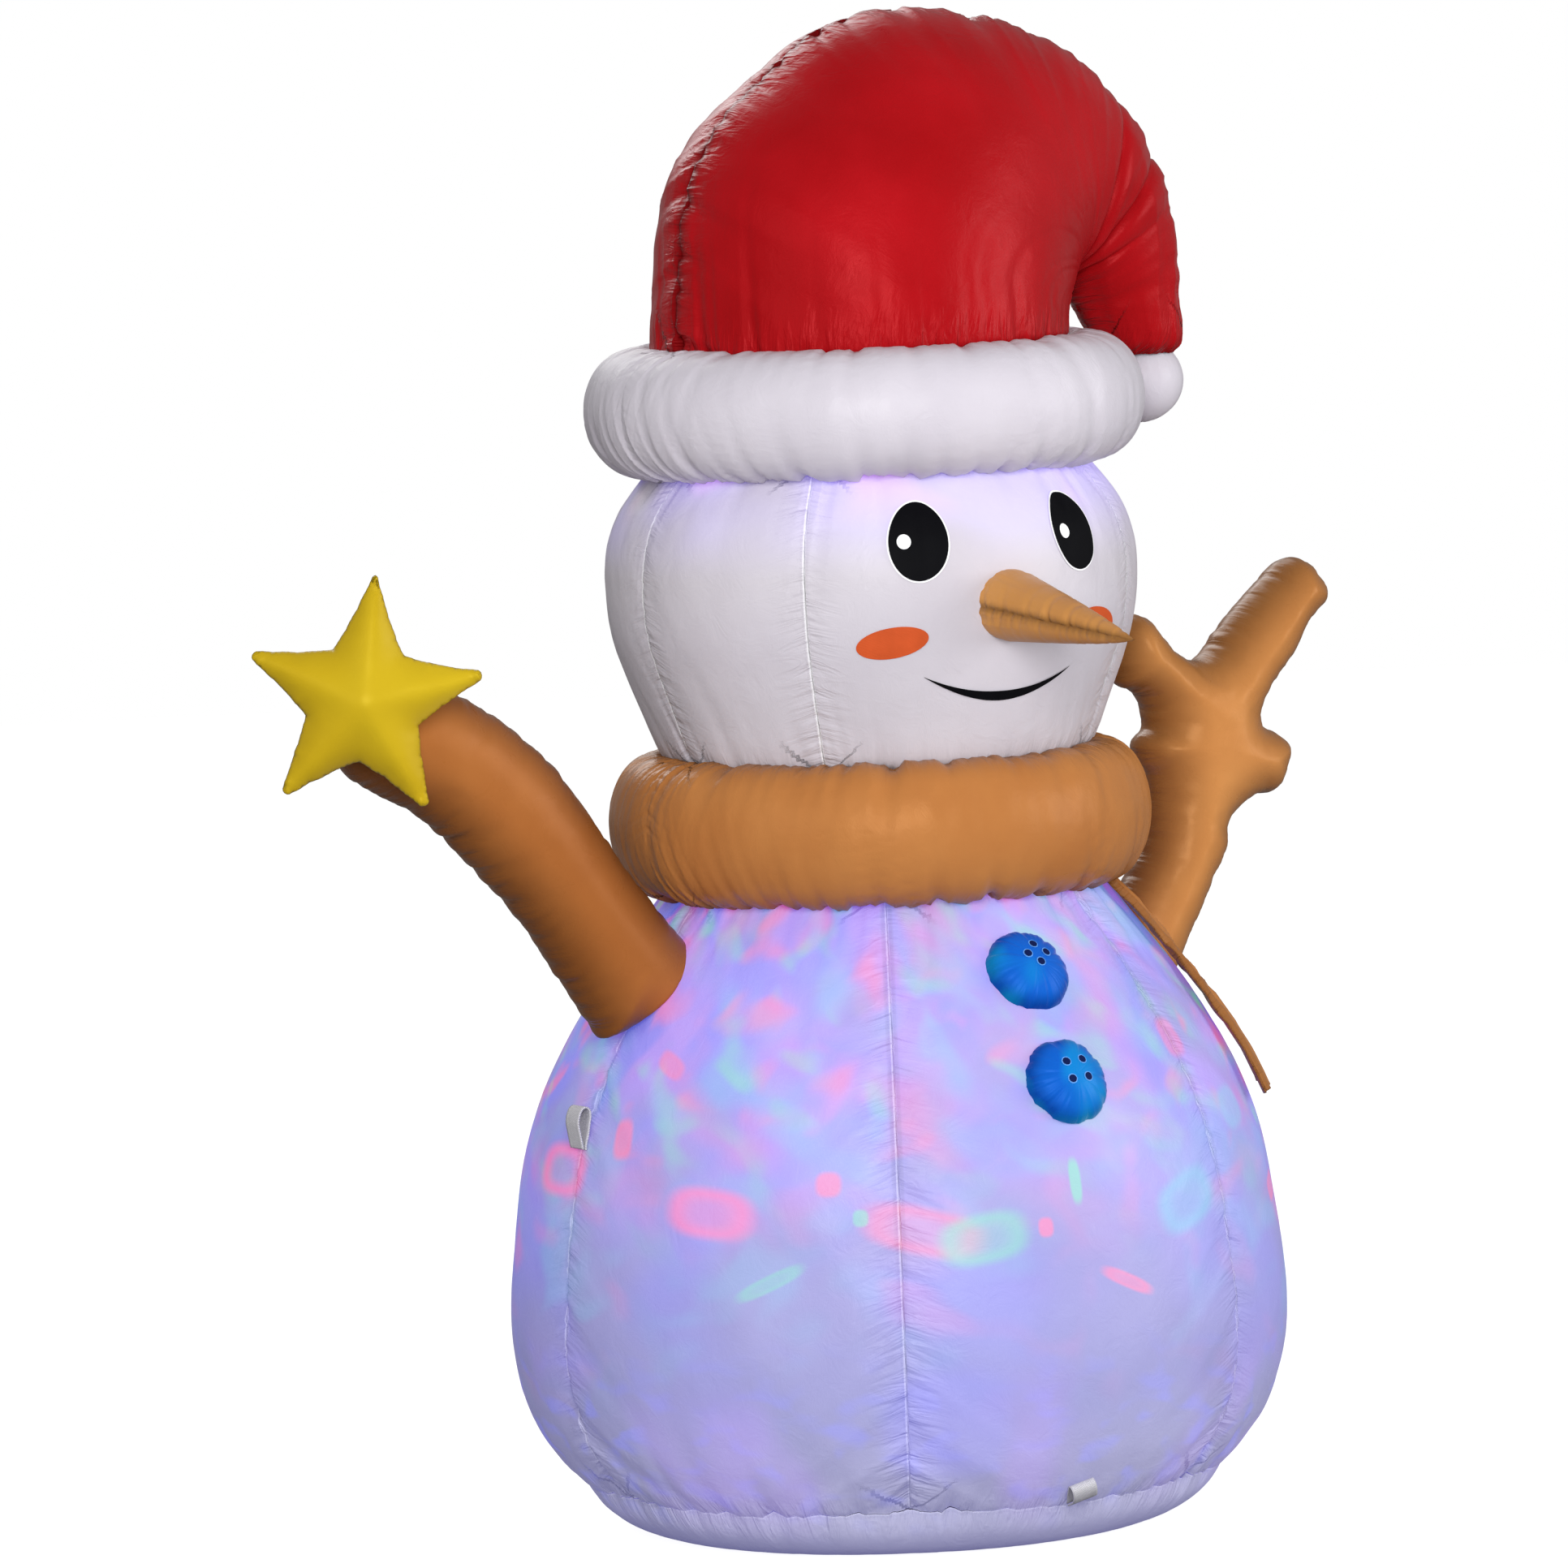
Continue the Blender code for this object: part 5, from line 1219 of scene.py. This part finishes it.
grey_webbing = webbing("grey_webbing", (0.72, 0.71, 0.76))
path, path_run = smooth_line(loop_line, 70)
widths = np.linspace(-0.5, 0.5, 13)[None, :]
for word, azimuth, height, lean in (("side_right", -90, 0.3250, 0), ("side_left", 90, 0.3250, 0),
                                    ("front", 0, 0.0470, 22), ("back", 180, 0.0470, 0)):
    foot, higher = [laid_on(body_skin, azimuth, height + off, 0.0) for off in (0.0, 0.016)]
    upward = (higher - foot).normalized()
    sideways = upward.cross(Vector((foot.x, foot.y, 0)).normalized()).normalized()
    away = sideways.cross(upward).normalized()
    leaned = Matrix.Rotation(math.radians(lean), 3, away)
    upward, sideways = leaned @ upward, leaned @ sideways
    points = (np.array(foot) + path[:, None, :1] * np.array(upward)
              + (path[:, None, 1:] + 0.0003) * np.array(away)
              + widths[..., None] * webbing_width * np.array(sideways))
    tab = cloth_grid(f"tie_loop_{word}_webbing", points, (widths + 0.5) * webbing_width + 0 * path[:, :1],
                     path_run[:, None] + 0 * widths, closed=False)
    thicken(tab, "tape", webbing_thick)
    sewn_on(tab, grey_webbing, [f"tie_loop_{word}"])


# ---------------------------------------------------------------- zip for letting the air out
# A white woven tape with a nylon coil, sewn across the back panel. Its metal slider and pull are the frame's
# own, and are finished with the other metal pieces.
zip_start, zip_end, zip_height, tape_half, teeth = 161.0, 199.0, 0.3150, 0.0150, 110
off_tape, off_coil, coil_half, coil_end = 0.0011, 0.0027, 0.0019, 1.0
zip_azimuths = np.linspace(zip_start, zip_end, 90)
tape_rows = np.linspace(-1, 1, 9)
tape_points = np.array([[tuple(laid_on(body_skin, a, zip_height + tape_half * k,
                                       off_tape)) for a in zip_azimuths]
                        for k in tape_rows])
from_edge = tape_half * (1 - np.abs(tape_rows))[:, None] + 0 * zip_azimuths[None]
along_tape = np.radians(zip_azimuths)[None] * waist_radius + 0 * tape_rows[:, None]
zip_tape = cloth_grid("zip_tape_cloth", tape_points, from_edge, along_tape, closed=False)
thicken(zip_tape, "tape", 0.0008)
tape_nylon = white_nylon("tape_nylon", (0.62, 0.61, 0.64, 1), False)
sewn_on(zip_tape, tape_nylon, ["zip_tape"])

bm = bmesh.new()
coil_sides, coil_wire = 6, 0.0005
before = None
for i in range(2 * teeth + 1):
    azimuth = zip_start + coil_end + (zip_end - zip_start - 2 * coil_end) * i / (2 * teeth)
    middle = laid_on(body_skin, azimuth, zip_height + (coil_half if i % 2 else -coil_half), off_coil)
    outward = Vector((middle.x, middle.y, 0)).normalized()
    sideways = Vector((0, 0, 1)).cross(outward)
    ring = [bm.verts.new(middle + (outward * math.sin(t) + sideways * math.cos(t)) * coil_wire)
            for t in (2 * math.pi * k / coil_sides for k in range(coil_sides))]
    if before:
        for k in range(coil_sides):
            bm.faces.new((before[k], before[(k + 1) % coil_sides], ring[(k + 1) % coil_sides], ring[k]))
    before = ring
sewn_on(set_down("zip_coil_teeth", bm), tape_nylon, ["zip_coil"])


# ---------------------------------------------------------------- metal, plastic and glass pieces
# The zip's slider, the blower in the back panel and the party light keep the frame's shapes. They are plated
# steel, moulded plastic and clear plastic.
def metal(name, colour, roughness):
    """Plated steel with a fine brushed grain and a few dull patches."""
    made, shader, add, join, place = new_finish(name)
    join(mixed(add, cloudy(add, place, 60.0, 3.0), (*colour, 1), (*(0.75 * c for c in colour), 1)),
         "Base Color")
    join(from_to(add, cloudy(add, place, 900.0, 2.0), roughness - 0.08, roughness + 0.10), "Roughness")
    shader.inputs["Metallic"].default_value = 1.0
    return made


def moulded(name, colour, roughness, grain):
    """Moulded plastic with a fine grained face and slight unevenness of tone."""
    made, _, add, join, place = new_finish(name)
    tone = cloudy(add, place, 25.0, 2.0)
    join(mixed(add, tone, (*colour, 1), (*(min(1.0, 1.5 * c + 0.006) for c in colour), 1)), "Base Color")
    join(raised(add, cloudy(add, place, grain, 3.0), 0.25, 0.0003), "Normal")
    join(from_to(add, tone, roughness - 0.05, roughness + 0.08), "Roughness")
    return made


zip_metal, steel = metal("zip_metal", (0.62, 0.62, 0.64), 0.30), metal("steel", (0.55, 0.55, 0.57), 0.35)
black_plastic = moulded("black_plastic", (0.018, 0.018, 0.020), 0.45, 700.0)
circuit_green = moulded("circuit_green", (0.02, 0.12, 0.05), 0.5, 300.0)
led_yellow = moulded("led_yellow", (0.80, 0.72, 0.35), 0.25, 500.0)
led_shader, _, _ = tools_for(led_yellow)
led_shader.inputs["Emission Color"].default_value = (1.0, 0.9, 0.7, 1)
led_shader.inputs["Emission Strength"].default_value = 1.5
clear_lens, lens_shader, lens_add, lens_join, lens_place = new_finish("clear_lens")
facets = lens_add("ShaderNodeTexVoronoi", {"Vector": lens_place, "Scale": 110.0}).outputs[0]
lens_join(raised(lens_add, facets, 0.5, 0.001), "Normal")
lens_join(mixed(lens_add, facets, (0.80, 0.88, 0.95, 1), (0.95, 0.85, 0.92, 1)), "Base Color")
lens_shader.inputs["Roughness"].default_value = 0.08
lens_shader.inputs["Transmission Weight"].default_value = 0.9
for finish, nodes in ((zip_metal, ["zip_slider", "zip_pull"]),
                      (steel, ["blower_motor", "impeller_shaft", "inlet_contacts", "dome_motor",
                               "dome_spindle"]),
                      (circuit_green, ["light_circuit_board"]), (led_yellow, ["led_emitter"]),
                      (clear_lens, ["lens_dome"]),
                      (black_plastic, ["blower_flange", "blower_clamp_ring", "intake_grille", "blower_casing",
                                       "motor_bridge", "impeller", "power_inlet", "light_stand",
                                       "light_housing"])):
    for node in nodes:
        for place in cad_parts[node].material_slots:
            place.material = finish
